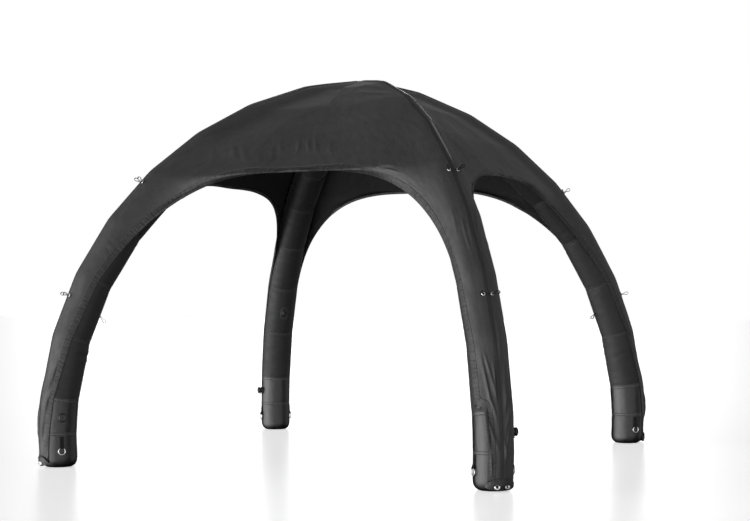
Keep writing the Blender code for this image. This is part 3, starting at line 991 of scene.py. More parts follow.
FAR_LEFT_DRAGS = (
    Drag(((0.66, 0.101), (0.55, 0.091), (0.47, 0.065), (0.42, 0.053)), 0.0085, 0.0085),
    Drag(((0.47, 0.098), (0.37, 0.076), (0.28, 0.049)), 0.0085, 0.0085),
    Drag(((0.35, 0.073), (0.25, 0.056), (0.15, 0.05)), 0.008, 0.0068),
    Drag(((2.335, 0.287), (2.204, 0.434), (2.075, 0.586)), 0.012, 0.0075),
    Drag(((2.305, 0.392), (2.174, 0.539), (2.048, 0.681)), 0.012, 0.007),
    Drag(((2.276, 0.298), (2.168, 0.41)), 0.01, 0.005),
    Drag(((2.208, 0.6), (2.109, 0.711), (2.047, 0.768)), 0.011, 0.0065),
    Drag(((2.25, 0.663), (2.169, 0.739), (2.067, 0.831)), 0.011, 0.0065),
    Drag(((2.35, 0.63), (2.25, 0.731), (2.147, 0.828)), 0.011, 0.0065),
    Drag(((2.327, 0.785), (2.224, 0.881), (2.15, 0.915)), 0.011, 0.0065),
    Drag(((2.277, 0.204), (2.178, 0.301), (2.114, 0.373)), 0.011, 0.0055),
    Drag(((2.149, 0.712), (2.088, 0.773), (2.037, 0.82)), 0.009, 0.005),
)
NEAR_RIGHT_DRAGS = (
    Drag(((0.74, 0.055), (0.6, 0.034), (0.47, 0.026), (0.34, 0.022)), 0.0075, 0.0105),
    Drag(((0.5, 0.07), (0.38, 0.05), (0.27, 0.034), (0.17, 0.028)), 0.0075, 0.0105),
    Drag(((0.36, 0.085), (0.26, 0.062), (0.16, 0.045)), 0.008, 0.0095),
    Drag(((0.28, 0.016), (0.206, 0.019), (0.15, 0.021)), 0.0075, 0.0115),
    Drag(((0.66, 0.075), (0.52, 0.041), (0.42, 0.02)), 0.008, 0.0115),
    Drag(((0.56, 0.095), (0.443, 0.048), (0.335, 0.027), (0.26, 0.018)), 0.0085, 0.0125),
    Drag(((1.02, 0.028), (0.86, 0.021), (0.67, 0.02)), 0.008, 0.0075),
    Drag(((1.64, 0.066), (1.5, 0.035), (1.38, 0.021)), 0.01, 0.004),
    Drag(((2.365, 0.33), (2.143, 0.391), (1.992, 0.479)), 0.010, 0.0080),
    Drag(((2.318, 0.321), (2.174, 0.482), (2.062, 0.72)), 0.010, 0.0080),
    Drag(((2.195, 0.078), (2.089, 0.279), (1.934, 0.362)), 0.010, 0.0080),
    Drag(((2.361, 0.455), (2.187, 0.593), (2.036, 0.806)), 0.010, 0.0080),
    Drag(((2.072, 0.295), (1.983, 0.376), (1.95, 0.563)), 0.008, 0.005),
)
DRAGS: dict[tuple[Panel, int], tuple[Drag, ...]] = {
    (Panel.FRONT, 1): NEAR_LEFT_DRAGS + CROWN_DRAGS,
    (Panel.FRONT, -1): FAR_LEFT_DRAGS,
    (Panel.RIGHT, -1): NEAR_RIGHT_DRAGS,
}


@dataclass(frozen=True)
class HalfShape:
    """Bare surface of half a panel.

    Attributes:
        rows: Distance along the leg of each row.
        grid: The points row by row.
        widths: Width of each row.
        wraps: Width of the part of each row that lies on the leg.
        shares: Share of the row's width at each column.
        from_edge: Distance of each point to the free edge.
        edge_place: Length of the free edge up to the place nearest to each point.
    """

    rows: np.ndarray
    grid: np.ndarray
    widths: np.ndarray
    wraps: np.ndarray
    shares: np.ndarray
    from_edge: np.ndarray
    edge_place: np.ndarray

    def width_at(self, along: float) -> float:
        """Width of the half panel at a distance along the leg."""
        return float(np.interp(along, self.rows, self.widths))

    def place(self, along: float, across: float, side: int) -> np.ndarray:
        """Point of the bare surface in the front panel's frame.

        Args:
            along: Distance along the leg.
            across: Distance from the ridge seam along the row.
            side: 1 for the right half of the panel and -1 for the left half.

        Returns:
            The point.
        """
        row = float(np.interp(along, self.rows, np.arange(len(self.rows))))
        i = min(int(row), len(self.rows) - 2)
        column = float(np.interp(across / self.width_at(along), self.shares, np.arange(len(self.shares))))
        j = min(int(column), len(self.shares) - 2)
        low = self.grid[i, j] * (1 + j - column) + self.grid[i, j + 1] * (column - j)
        high = self.grid[i + 1, j] * (1 + j - column) + self.grid[i + 1, j + 1] * (column - j)
        return (low * (1 + i - row) + high * (row - i)) * np.array((side, 1.0, 1.0))

    def area(self) -> float:
        """Area of the bare surface in square metres."""
        down = self.grid[1:, :-1] - self.grid[:-1, :-1]
        across = self.grid[:-1, 1:] - self.grid[:-1, :-1]
        return float(np.linalg.norm(np.cross(down, across), axis=2).sum())


@dataclass
class Cover:
    """The sewn cover: four panels that wrap the legs and hang in arches between them, with folded hems."""

    finishes: Finishes
    radius: float = 0.1185
    thickness: float = 0.0018
    start: float = 0.05
    edge: Pairs = ((0.05, 46.0), (0.42, 59.0), (0.83, 80.0), (1.20, 92.0))  # along the leg, degrees round it
    pulled_edge: Pairs = ((0.05, 40.0), (0.21, 39.0), (0.43, 45.0), (0.452, 50.0), (0.472, 75.0), (0.83, 82.0),
                          (1.20, 92.0))
    arch_drop: float = 0.67         # how far the hem falls from its middle, at arch_half to its side
    arch_half: float = 1.24
    arch_power: float = 2.95        # how square the arch is
    arch_turn: float = 12.0         # how suddenly its hem turns down along the leg
    arch_spread: float = 0.8
    panel_sag: float = 0.045
    recess: float = 0.042           # depth of the hollow beside a leg
    pulled_recess: float = 0.012
    recess_reach: float = 0.085
    recess_length: float = 0.9
    columns: int = 80
    crowding: float = 0.6           # how much closer the columns stand at the ridge and at the hem
    roof_height: float = 0.009      # how far the ridge seam lifts the cloth, and within what reach
    roof_reach: float = 0.060
    roof_foot: float = 0.35
    roof_growth: Pair = (0.3, 1.2)
    roof_end: float = 0.25
    hem_width: float = 0.020
    hem_gap: float = 0.0036
    boot_step: Pair = (0.42, 0.48)  # where the rows stand close, at the boot's top
    row_steps: tuple[float, ...] = (0.019, 0.0055, 0.020, 0.0105, 0.022)
    waves: Pair = (0.0022, 0.0009)

    def __post_init__(self) -> None:
        """Work out the rows and the two bare surfaces that the panels share."""
        self.lift_off = MITRES[4]
        self.arch_row = MITRES[6]
        self.rows = self._rows()
        self.arch_index = self.rows.index(min(self.rows, key=lambda along: abs(along - self.arch_row)))
        steps = np.linspace(0.0, 1.0, self.columns + 1)
        self.shares = steps - self.crowding * np.sin(TURN * steps) / TURN
        self.plain = self._half(self.edge, self.recess)
        self.pulled = self._half(self.pulled_edge, self.pulled_recess)

    def half_of(self, panel: Panel, side: int) -> HalfShape:
        """Bare surface of one half panel; the one on the left of the nearest leg is pulled round it."""
        return self.pulled if (panel, side) == (Panel.FRONT, 1) else self.plain

    def _half(self, edge: Pairs, recess: float) -> HalfShape:
        """Work out a half panel.

        Args:
            edge: Angle of the side edge along the leg.
            recess: Depth of the hollow beside the leg.

        Returns:
            The bare surface.
        """
        grid = np.array([self._row(along, edge, recess) for along in self.rows])
        widths = np.array([self._row_width(along, edge) for along in self.rows])
        wraps = np.array([self.radius * self.take_off(along, edge) for along in self.rows])
        return HalfShape(np.array(self.rows), grid, widths, wraps, self.shares, *self._edge_distances(grid))

    def _edge_distances(self, grid: np.ndarray) -> tuple[np.ndarray, np.ndarray]:
        """Measure from the free edge.

        Args:
            grid: Points of a half panel.

        Returns:
            Distance of each point to the edge, and the edge's length up to the nearest place.
        """
        edge = grid[:self.arch_index + 1, -1]
        nearest, place = np.full(grid.shape[:2], 1.0), np.zeros(grid.shape[:2])
        travelled = 0.0
        for start, end in zip(edge[:-1], edge[1:]):
            line, offset = end - start, grid - start
            length = float(np.linalg.norm(line))
            share = np.clip((offset @ line) / length ** 2, 0.0, 1.0)
            distance = np.linalg.norm(offset - share[..., None] * line, axis=2)
            place = np.where(distance < nearest, travelled + share * length, place)
            nearest = np.minimum(distance, nearest)
            travelled += length
        return nearest, place

    def _rows(self) -> list[float]:
        """Choose the rows.

        Returns:
            Distances along the leg, from the foot to just below the crown.
        """
        ends = (self.start, *self.boot_step, self.lift_off, self.arch_row, LEG.length - 0.012)
        rows = [self.start]
        for low, high, step in zip(ends, ends[1:], self.row_steps):
            count = round((high - low) / step)
            rows += [low + (high - low) * (i + 1) / count for i in range(count)]
        return rows

    def take_off(self, along: float, edge: Pairs) -> float:
        """Angle round the leg where the cloth leaves the tube.

        Args:
            along: Distance along the leg.
            edge: Angle of the side edge along the leg.

        Returns:
            The angle.
        """
        if along <= self.lift_off:
            return math.radians(read_off(edge, along))
        share = ease((along - self.lift_off) / (self.arch_row - self.lift_off))
        return math.radians(edge[-1][1]) * (1 - share) + math.atan(math.cos(LEG.lean(along))) * share

    @staticmethod
    def to_front(point: Vector) -> Vector:
        """From the front right leg's frame, Y towards the front panel, to the tent's frame."""
        return Vector(((point.x - point.y) * HALF, (-point.x - point.y) * HALF, point.z))

    def _contact(self, along: float, edge: Pairs) -> tuple[Vector, Vector]:
        """Where a row leaves the tube, and the cloth's outward direction there."""
        turn = self.take_off(along, edge)
        spot = LEG.cloth_point(along, turn, self.radius)
        return self.to_front(spot), self.to_front(LEG.outward(along, turn))

    def hem_height(self, reach: float) -> float:
        """Height of the arch's hem.

        Args:
            reach: Distance from the middle of the panel.

        Returns:
            The height above the ground.
        """
        highest, widest = (self._contact(along, self.edge)[0] for along in (self.arch_row, self.lift_off))
        near = abs(reach) / widest.x
        drop = self.arch_drop * (widest.x / self.arch_half) ** self.arch_power
        rest = highest.z - widest.z - drop
        return highest.z - drop * near ** self.arch_power - rest * near ** self.arch_turn

    def _row_end(self, along: float, start: Vector, outward: Vector) -> Vector:
        """Last point of a row: on the leg, on the arch or at the middle of the panel.

        Args:
            along: The row's distance along the leg.
            start: Where the row leaves the tube.
            outward: The cloth's outward direction there.

        Returns:
            The point in the tent's frame.
        """
        if along <= self.lift_off + 1e-6:
            return start
        if along >= self.arch_row - 1e-6:
            end = Vector((0.0, 0.0, start.z))
        else:
            widest, _ = self._contact(self.lift_off, self.edge)
            share = (along - self.lift_off) / (self.arch_row - self.lift_off)
            reach = widest.x * math.cos(math.pi / 2 * share) ** self.arch_spread
            end = Vector((reach, 0.0, self.hem_height(reach)))
        offset = end - start
        end.y = start.y - (outward.x * offset.x + outward.z * offset.z) / outward.y
        return end

    def _dip(self, distance: float, recess: float, from_hem: float) -> float:
        """How far the cloth lies behind a flat panel, close beside the leg.

        Args:
            distance: Distance from where a flat panel would leave the leg.
            recess: Depth of the hollow.
            from_hem: Distance to the hem, where the cloth is pulled straight.

        Returns:
            The depth, which never brings the cloth into the leg.
        """
        hollow = recess * (1.0 - math.exp(-((distance / self.recess_reach) ** 1.5)))
        hollow *= math.exp(-max(distance - 0.1, 0.0) / self.recess_length) * ease(from_hem / 0.16)
        leg = self.radius - math.sqrt(max(self.radius ** 2 - distance ** 2, 0.0))
        if hollow <= 0.0 or leg <= 0.0:
            return 0.0
        return (hollow ** -4 + leg ** -4) ** -0.25

    def _row_width(self, along: float, edge: Pairs) -> float:
        """Width of a row from the ridge seam to its end."""
        start, outward = self._contact(along, edge)
        free = (self._row_end(along, start, outward) - start).length
        return self.radius * self.take_off(along, edge) + free

    def _row(self, along: float, edge: Pairs, recess: float) -> list[Vector]:
        """Lay out one row of the front panel's right half.

        Args:
            along: The row's distance along the leg.
            edge: Angle of the side edge along the leg.
            recess: Depth of the hollow beside the leg.

        Returns:
            The row's points, from the ridge seam.
        """
        start, outward = self._contact(along, edge)
        end = self._row_end(along, start, outward)
        wrap, free = self.radius * self.take_off(along, edge), (end - start).length
        angle = LEG.lean(along)
        upward = self.to_front(Vector((-math.sin(angle), 0.0, math.cos(angle))))
        spread = (end - start).cross(upward).length / max(free, 1e-6)
        height_share = min((LEG.length - along) / (LEG.length - self.lift_off), 1.0)
        sag = self.panel_sag * math.sin(math.pi * height_share) ** 2
        recess *= ease(height_share / 0.15) * ease((1.0 - height_share) / 0.35)
        points = []
        for part in self.shares:
            distance = (wrap + free) * float(part)
            if distance <= wrap or free < 1e-6:
                radius = self.radius + self.roof(along, distance)
                points.append(self.to_front(LEG.cloth_point(along, distance / self.radius, radius)))
                continue
            point = start.lerp(end, (distance - wrap) / free)
            across = 1.0 - point.x / start.x
            from_hem = wrap + free - distance if along < self.arch_row else 1.0
            dip = self._dip((distance - wrap) * spread, recess, from_hem)
            points.append(point - outward * max(sag * math.sin(math.pi / 2 * across) ** 2, dip))
        if along >= self.arch_row - 1e-6:
            points[-1].x = 0.0
        return points

    def roof(self, along: float, across: float) -> float:
        """How far the ridge seam lifts the cloth off the leg.

        Args:
            along: Distance along the leg.
            across: Distance from the seam.

        Returns:
            The height over the leg.
        """
        low = min(max((along - self.roof_growth[0]) / self.roof_growth[1], 0.0), 1.0)
        top = min(max((LEG.length - along) / self.roof_end, 0.0), 1.0)
        share = self.roof_foot + (1.0 - self.roof_foot) * low
        return self.roof_height * share * top * max(0.0, 1.0 - across / self.roof_reach)

    def crown_tip(self) -> Vector:
        """Where the ridge seams meet."""
        return Vector((0.0, 0.0, LEG.crown_height + self.radius / math.sin(LEG.crown_lean)))

    def fold(self, half: HalfShape, side: int, drag: Drag) -> Fold:
        """Lay a fold on the bare surface.

        Args:
            half: The half panel's surface.
            side: 1 for the right half and -1 for the left half.
            drag: Where the fold runs.

        Returns:
            The fold.
        """
        knots = np.array(drag.points)
        steps = np.linspace(0.0, len(knots) - 1.0, 3 * len(knots))
        places = [[float(np.interp(step, range(len(knots)), column)) for column in knots.T] for step in steps]
        path = np.array([half.place(along, across, side) for along, across in places])
        return Fold(path, drag.width, drag.depth, drag.profile)

    def hem_puckers(self, rng: random.Random, half: HalfShape, count: int) -> list[Drag]:
        """Choose small puckers that run in from the arch's hem.

        Args:
            rng: Where the random sizes come from.
            half: The half panel.
            count: How many.

        Returns:
            The puckers.
        """
        drags = []
        low = self.lift_off + 0.12
        for i in range(count):
            share = (i + 0.8 * rng.random()) / count
            along = low + (self.arch_row - self.lift_off - 0.12) * share ** 1.3
            width = half.width_at(along)
            length, slant = rng.uniform(0.05, 0.17), rng.uniform(0.0, 0.10)
            points = ((along, width - 0.004), (along + slant, width - length))
            fold_width = rng.uniform(0.007, 0.014)
            depth = rng.choice((-1.0, 1.0)) * rng.uniform(0.0010, 0.0026)
            drags.append(Drag(points, fold_width, depth, Profile.ROLL))
        return drags

    def middle_puckers(self, rng: random.Random, half: HalfShape, count: int) -> list[Drag]:
        """Choose shallow upright folds above the middle of the arch.

        Args:
            rng: Where the random sizes come from.
            half: The half panel.
            count: How many.

        Returns:
            The folds.
        """
        drags = []
        for i in range(count):
            low = self.arch_row + rng.uniform(0.02, 0.14)
            high = low + rng.uniform(0.10, 0.26)
            share = 1.0 - (i + rng.random()) / count * 0.62
            lean = rng.uniform(-0.02, 0.02)
            points = ((low, share * half.width_at(low)), (high, (share + lean) * half.width_at(high)))
            drags.append(Drag(points, rng.uniform(0.009, 0.013), rng.uniform(0.0035, 0.0065)))
        return drags

    @staticmethod
    def foot_drags(rng: random.Random, count: int) -> list[Drag]:
        """Drag folds that run up from the eyelets at the foot.

        Args:
            rng: Where the random sizes come from.
            count: How many there are.

        Returns:
            The folds.
        """
        drags = []
        for _ in range(count):
            low, high = rng.uniform(0.07, 0.18), rng.uniform(0.36, 0.66)
            inner, outer = rng.uniform(0.005, 0.05), rng.uniform(0.01, 0.09)
            points = ((high, outer), ((low + high) / 2, 0.6 * inner + 0.4 * outer), (low, inner))
            drags.append(Drag(points, rng.uniform(0.0065, 0.009), rng.uniform(0.005, 0.0085)))
        return drags

    def panel_folds(self, panel: Panel) -> list[Fold]:
        """All folds of one panel: drawn where the cover is seen well, and random elsewhere.

        Args:
            panel: The panel.

        Returns:
            The folds.
        """
        folds = []
        for side in (1, -1):
            rng = random.Random(100 + 10 * panel.number + side)
            half = self.half_of(panel, side)
            drawn = DRAGS.get((panel, side), ())
            drags = [*drawn, *self.hem_puckers(rng, half, 15)]
            drags += self.middle_puckers(rng, half, 0 if panel is Panel.FRONT else 6)
            drags += self.foot_drags(rng, 0 if drawn else 7)
            folds += [self.fold(half, side, drag) for drag in drags]
        return folds

    def _folded(self, panel: Panel) -> dict[int, np.ndarray]:
        """Fold and crumple a panel's bare surface.

        Args:
            panel: The panel.

        Returns:
            The points of the right half, under 1, and of the left half, under -1.
        """
        folds = self.panel_folds(panel)
        out = {}
        for side in (1, -1):
            half = self.half_of(panel, side)
            grid = half.grid * np.array((side, 1.0, 1.0))
            normals = self._normals(half.grid) * np.array((side, 1.0, 1.0))
            points, directions = grid.reshape(-1, 3), normals.reshape(-1, 3)
            heights = np.zeros(len(points))
            for fold in folds:
                heights += fold.heights(points, directions)
            heights += self._unevenness(panel, points)
            heights = heights.reshape(grid.shape[:2])
            out[side] = grid + normals * (heights * self._freedom(heights, half))[..., None]
        return out

    def _freedom(self, heights: np.ndarray, half: HalfShape) -> np.ndarray:
        """Hold the cloth where it is sewn or lies on the tube.

        Args:
            heights: How far the folds would move each point.
            half: The half panel's surface.

        Returns:
            Share of each height that is kept: none at the ridge seam, and no dent into the tube.
        """
        across = half.widths[:, None] * self.shares[None, :]
        kept = smooth(across / 0.017) * (0.3 + 0.7 * np.clip(half.from_edge / 0.045, 0.0, 1.0))
        dent = (across < half.wraps[:, None] + 0.12) & (heights < 0)
        limit = np.where(dent, np.minimum(1.0, 0.0012 / np.maximum(-heights, 1e-9)), 1.0)
        return kept * limit * np.clip((LEG.length - half.rows) / 0.15, 0.0, 1.0)[:, None]

    def _unevenness(self, panel: Panel, points: np.ndarray) -> np.ndarray:
        """Random waves of the cloth.

        Args:
            panel: The panel, each with its own waves.
            points: Points of the cloth.

        Returns:
            The height at each point.
        """
        shift = Vector((7.3, 1.9, 4.1)) * (1 + panel.number)
        wide = [noise.noise(Vector(p) * 5.0 + shift) for p in points]
        fine = [noise.noise(Vector((p[0] * 26.0, p[1] * 26.0, p[2] * 11.0)) + shift) for p in points]
        return self.waves[0] * np.array(wide) + self.waves[1] * np.array(fine)

    @staticmethod
    def _normals(grid: np.ndarray) -> np.ndarray:
        """Outward direction at each point of a grid.

        Args:
            grid: The points.

        Returns:
            The directions.
        """
        down, across = np.gradient(grid, axis=0), np.gradient(grid, axis=1)
        normals = np.cross(across, down)
        size = np.linalg.norm(normals, axis=2, keepdims=True)
        normals = normals / np.maximum(size, 1e-12)
        sides = [np.linalg.norm(step, axis=2, keepdims=True) for step in (across, down)]
        flat = size < 0.3 * sides[0] * sides[1]
        for j in range(1, grid.shape[1]):
            normals[:, j] = np.where(flat[:, j], normals[:, j - 1], normals[:, j])
        toward = (normals * (grid - np.array((0.0, 0.0, 0.9)))).sum(2, keepdims=True)
        return np.where(toward < 0, -normals, normals)

    def _add_half(self, patch: Patch, grid: np.ndarray, half: HalfShape, side: int) -> None:
        """Add one half of a panel and its hem to a patch.

        Args:
            patch: Where it goes.
            grid: The half's points.
            half: Its bare surface.
            side: 1 for the right half and -1 for the left half.
        """
        rows, columns = grid.shape[0], grid.shape[1]
        first = len(patch.points)
        for i in range(rows):
            for j in range(columns):
                patch.add_point(Vector(grid[i, j]), (side * half.widths[i] * self.shares[j], self.rows[i]),
                                (float(half.from_edge[i, j]), float(half.edge_place[i, j])))
        for i in range(rows - 1):
            for j in range(columns - 1):
                a = first + i * columns + j
                patch.add_face((a, a + columns, a + 1 + columns, a + 1), side)
        tip = len(patch.points)
        patch.add_point(self.crown_tip(), (0.0, LEG.length), (1.0, 0.0))
        top = first + (rows - 1) * columns
        for j in range(columns - 1):
            patch.add_face((top + j, tip, top + j + 1), side)
        self._add_hem(patch, grid, half, first, side)

    def _add_hem(self, patch: Patch, grid: np.ndarray, half: HalfShape, first: int, side: int) -> None:
        """Turn the cloth's free edge back under itself.

        Args:
            patch: Where the hem goes.
            grid: The half's points.
            half: Its bare surface.
            first: Number of the half's first point in the patch.
            side: 1 for the right half and -1 for the left half.
        """
        columns, arch = grid.shape[1], self.arch_index
        normals = self._normals(grid)
        width = self.hem_width
        section = ((0.0012, 0.3), (0.0012, 0.75), (0.0, 1.0), (-0.5 * width, 1.0), (-width, 1.0))
        start, size = len(patch.points), len(section)
        for i in range(arch + 1):
            edge, normal = Vector(grid[i, -1]), Vector(normals[i, -1])
            opening = Vector((0.0, edge.y, 0.9)) - edge
            along = Vector(grid[min(i + 1, arch), -1] - grid[max(i - 1, 0), -1]).normalized()
            out = normal.cross(along)
            out = out if out.dot(opening) > 0 else -out
            for x, z in section:
                point = edge + out * x - normal * (self.hem_gap * z)
                patch.add_point(point, (side * half.widths[i], self.rows[i]), (0.05, 0.0))
        for i in range(arch):
            edge = first + i * columns + columns - 1
            ring = [edge] + [start + i * size + j for j in range(size)]
            above = [edge + columns] + [start + (i + 1) * size + j for j in range(size)]
            for j in range(size):
                patch.add_face((ring[j], above[j], above[j + 1], ring[j + 1]), side)

    def build(self) -> None:
        """Make the four panels."""
        for panel in Panel:
            patch = Patch()
            for side, grid in self._folded(panel).items():
                self._add_half(patch, grid, self.half_of(panel, side), side)
            mesh, label = patch.mesh(weld=1e-5, recalc=False), panel.label
            piece = make_piece(f"cover_{label}", mesh, self.finishes.cover, panel.matrix, f"canopy_{label}")
            # The inner face gets the darker cloth, painted shade for the underside.
            mesh.materials.append(self.finishes.lining.material)
            solid = piece.modifiers.new("cloth_thickness", "SOLIDIFY")
            solid.thickness = self.thickness
            solid.offset = -1.0
            solid.material_offset = 1
            solid.material_offset_rim = 0
            2 * self.plain.area()
            [f"air_leg_{leg.label}" for leg in panel.legs]


# Seams and tubes


def closed_band(patch: Patch, sections: list[list[Vector]], loop: bool) -> None:
    """Add a closed strip to a patch.

    Args:
        patch: Where it goes.
        sections: Outlines of the strip across, one after the other.
        loop: Whether the strip's ends meet.
    """
    rows = sections + [sections[0]] if loop else sections
    travelled = [0.0]
    for first, second in zip(rows, rows[1:]):
        travelled.append(travelled[-1] + (second[0] - first[0]).length)
    if loop:
        patch.add_strip(rows, closed=True, across=travelled)
    else:
        patch.add_solid(rows, travelled)


def tube_skin(stations: list[float], sides: int, radius: Callable[[float, float], float]) -> Patch:
    """Closed skin round a leg, which runs straight on beyond the crown.

    Args:
        stations: Distances along the leg of its rings.
        sides: Points round it.
        radius: Gives its radius at a distance along the leg and an angle round it.

    Returns:
        The skin.
    """
    ahead = (LEG.centre(LEG.length) - LEG.centre(LEG.length - 0.02)).normalized()
    rings = []
    for along in stations:
        place = min(along, LEG.length)
        beyond = ahead * (along - place)
        rings.append([LEG.skin_point(place, turn, radius(place, turn)) + beyond for turn in turns(sides)])
    patch = Patch()
    patch.add_solid(rings, stations, [TURN * LEG.tube_radius * i / sides for i in range(sides)])
    return patch


@dataclass(frozen=True)
class SeamBand:
    """Welded tape round a leg with a raised welt on each side."""

    width: float = 0.026
    thickness: float = 0.0012
    welt: float = 0.0011
    sides: int = 72

    def profile(self) -> list[Pair]:
        """Outline of the band.

        Returns:
            Pairs of distance across and height, over the top and back below.
        """
        half, top = self.width / 2, self.thickness
        side = [(half, -0.0008), (half - 0.0004, top), (half - 0.0028, top), (half - 0.0044, top + self.welt),
                (half - 0.0060, top), (0.002, top * 0.8)]
        under = [(half, -0.0012), (-half, -0.0012)]
        return [(-x, z) for x, z in side] + [(x, z) for x, z in reversed(side)] + under

    def add(self, patch: Patch, along: float, radius: float) -> None:
        """Add a band to a patch.

        Args:
            patch: Where it goes.
            along: Where the band's middle lies along the leg.
            radius: Radius of the skin it lies on.
        """
        profile, first = self.profile(), len(patch.points)
        sections = []
        for turn in turns(self.sides):
            sections.append([LEG.skin_point(along + d, turn, radius + z) for d, z in profile])
        closed_band(patch, sections, loop=True)
        lengths = [TURN * radius * i / self.sides for i in range(self.sides + 1)]
        patch.lay_out(first, [(d, length) for length in lengths for d, _ in profile])


@dataclass(frozen=True)
class Crease:
    """Sharp crease across the inner side of an air tube, with a low ridge on both sides."""

    along: float
    start: float
    end: float
    depth: float
    slant: float
    reach: float = 0.09

    def height(self, along: float, turn: float) -> float:
        """How far the skin moves outward.

        Args:
            along: Distance along the leg.
            turn: Angle round it.

        Returns:
            The height, below 0 in the crease itself.
        """
        if not self.start < turn < self.end:
            return 0.0
        share = (turn - self.start) / (self.end - self.start)
        gap = along - self.along - self.slant * (share - 0.5)
        if abs(gap) > self.reach:
            return 0.0
        fade = math.sin(math.pi * share) ** 0.7
        return fade * self.depth * (0.55 * bell(abs(gap) - 0.024, 0.018) - bell(gap, 0.008))


@dataclass
class AirLegs:
    """The four mitred air tubes, with the tapes over their seams."""

    finishes: Finishes
    sides: int = 72
    step: float = 0.014
    pinch: float = 0.0024       # how far a mitre's seam draws the skin in
    pucker: float = 0.0018      # and how much it puckers the inner side
    wave: float = 0.0012
    slack: float = 0.0008
    bulge: float = 0.0035
    overrun: float = 0.17       # length beyond the crown before the cut
    gap: float = 0.0003

    @staticmethod
    def _creases(leg: Leg) -> list[Crease]:
        """Choose the creases of one leg.

        Args:
            leg: The leg.

        Returns:
            Two random ones at each of the middle mitres, and those that the photograph shows.
        """
        rng = random.Random(40 + leg.number)
        creases = []
        for mitre in MITRES[3:8]:
            for _ in range(2):
                middle = math.pi + rng.uniform(-0.9, 0.9)
                half = rng.uniform(0.35, 0.8)
                place = mitre + rng.choice((-1, 1)) * rng.uniform(0.05, 0.11)
                depth, slant = rng.uniform(0.0015, 0.0035), rng.uniform(-0.05, 0.05)
                creases.append(Crease(place, middle - half, middle + half, depth, slant))
        if leg is Leg.FRONT_LEFT:
            creases.append(Crease(MITRES[3] - 0.092, 1.15, 3.2, 0.0075, 0.01))
        if leg is Leg.BACK_RIGHT:
            creases.append(Crease(MITRES[3] - 0.15, 3.6, 4.7, 0.004, 0.04))
        return creases

    def _radius(self, along: float, turn: float, creases: list[Crease], seed: float) -> float:
        """Distance of the skin from the tube's axis.

        Args:
            along: Distance along the leg.
            turn: Angle round it.
            creases: The leg's creases.
            seed: Place in the random waves.

        Returns:
            The distance.
        """
        near = min(abs(along - mitre) for mitre in MITRES[2:])
        inner = max(0.0, -math.cos(turn))
        draw = self.pinch * bell(near, 0.016)
        pucker = self.pucker * inner * bell(near, 0.045) * noise.noise(Vector((turn * 9.0, along * 4.0, seed)))
        place = Vector((math.cos(turn) * 2.2, math.sin(turn) * 2.2, along * 5.0 + seed))
        wave = self.wave * noise.noise(place)
        height = sum(crease.height(along, turn) for crease in creases)
        return min(LEG.tube_radius - draw + pucker + wave - self.slack + height, LEG.tube_radius + self.bulge)

    def _mesh(self, leg: Leg) -> Mesh:
        """Mesh of one tube, cut where it meets the other three.

        Args:
            leg: The leg.

        Returns:
            The mesh.
        """
        creases, seed = self._creases(leg), 3.7 * leg.number
        stations = []
        for low, high in zip(MITRES[2:], MITRES[3:]):
            count = round((high - low) / self.step)
            stations += [low + (high - low) * i / count for i in range(count)]
        stations += [LEG.length + self.overrun * i / 6 for i in range(7)]
        patch = tube_skin(stations, self.sides, lambda along, turn: self._radius(along, turn, creases, seed))
        mesh = patch.mesh()
        self._trim(mesh)
        return mesh

    def _trim(self, mesh: Mesh) -> None:
        """Cut a tube along the two upright planes where it meets its neighbours at the crown.

        Args:
            mesh: The tube.
        """
        bm = bmesh.new()
        bm.from_mesh(mesh)
        for side in SIDES:
            normal = Vector((-HALF, side * HALF, 0.0))
            whole = bm.verts[:] + bm.edges[:] + bm.faces[:]
            cut = bmesh.ops.bisect_plane(bm, geom=whole, plane_co=-normal * self.gap, plane_no=normal,
                                         clear_outer=True)
            edges = [item for item in cut["geom_cut"] if isinstance(item, bmesh.types.BMEdge)]
            bmesh.ops.contextual_create(bm, geom=edges)
        bmesh.ops.recalc_face_normals(bm, faces=bm.faces[:])
        if bm.calc_volume(signed=True) < 0.0:
            bmesh.ops.reverse_faces(bm, faces=bm.faces[:])
        bm.to_mesh(mesh)
        bm.free()
        mesh.set_sharp_from_angle(angle=math.radians(50.0))

    def build(self) -> None:
        """Make the tubes and the tapes."""
        for leg in Leg:
            make_piece(f"air_leg_{leg.label}", self._mesh(leg), self.finishes.tube, leg.matrix,
                       f"air_tube_{leg.label}")
            tapes = Patch()
            for mitre in MITRES[3:9]:
                SeamBand().add(tapes, mitre, LEG.tube_radius - 0.0026)
            make_piece(f"air_leg_tapes_{leg.label}", tapes.mesh(50.0), self.finishes.tube_seam, leg.matrix)


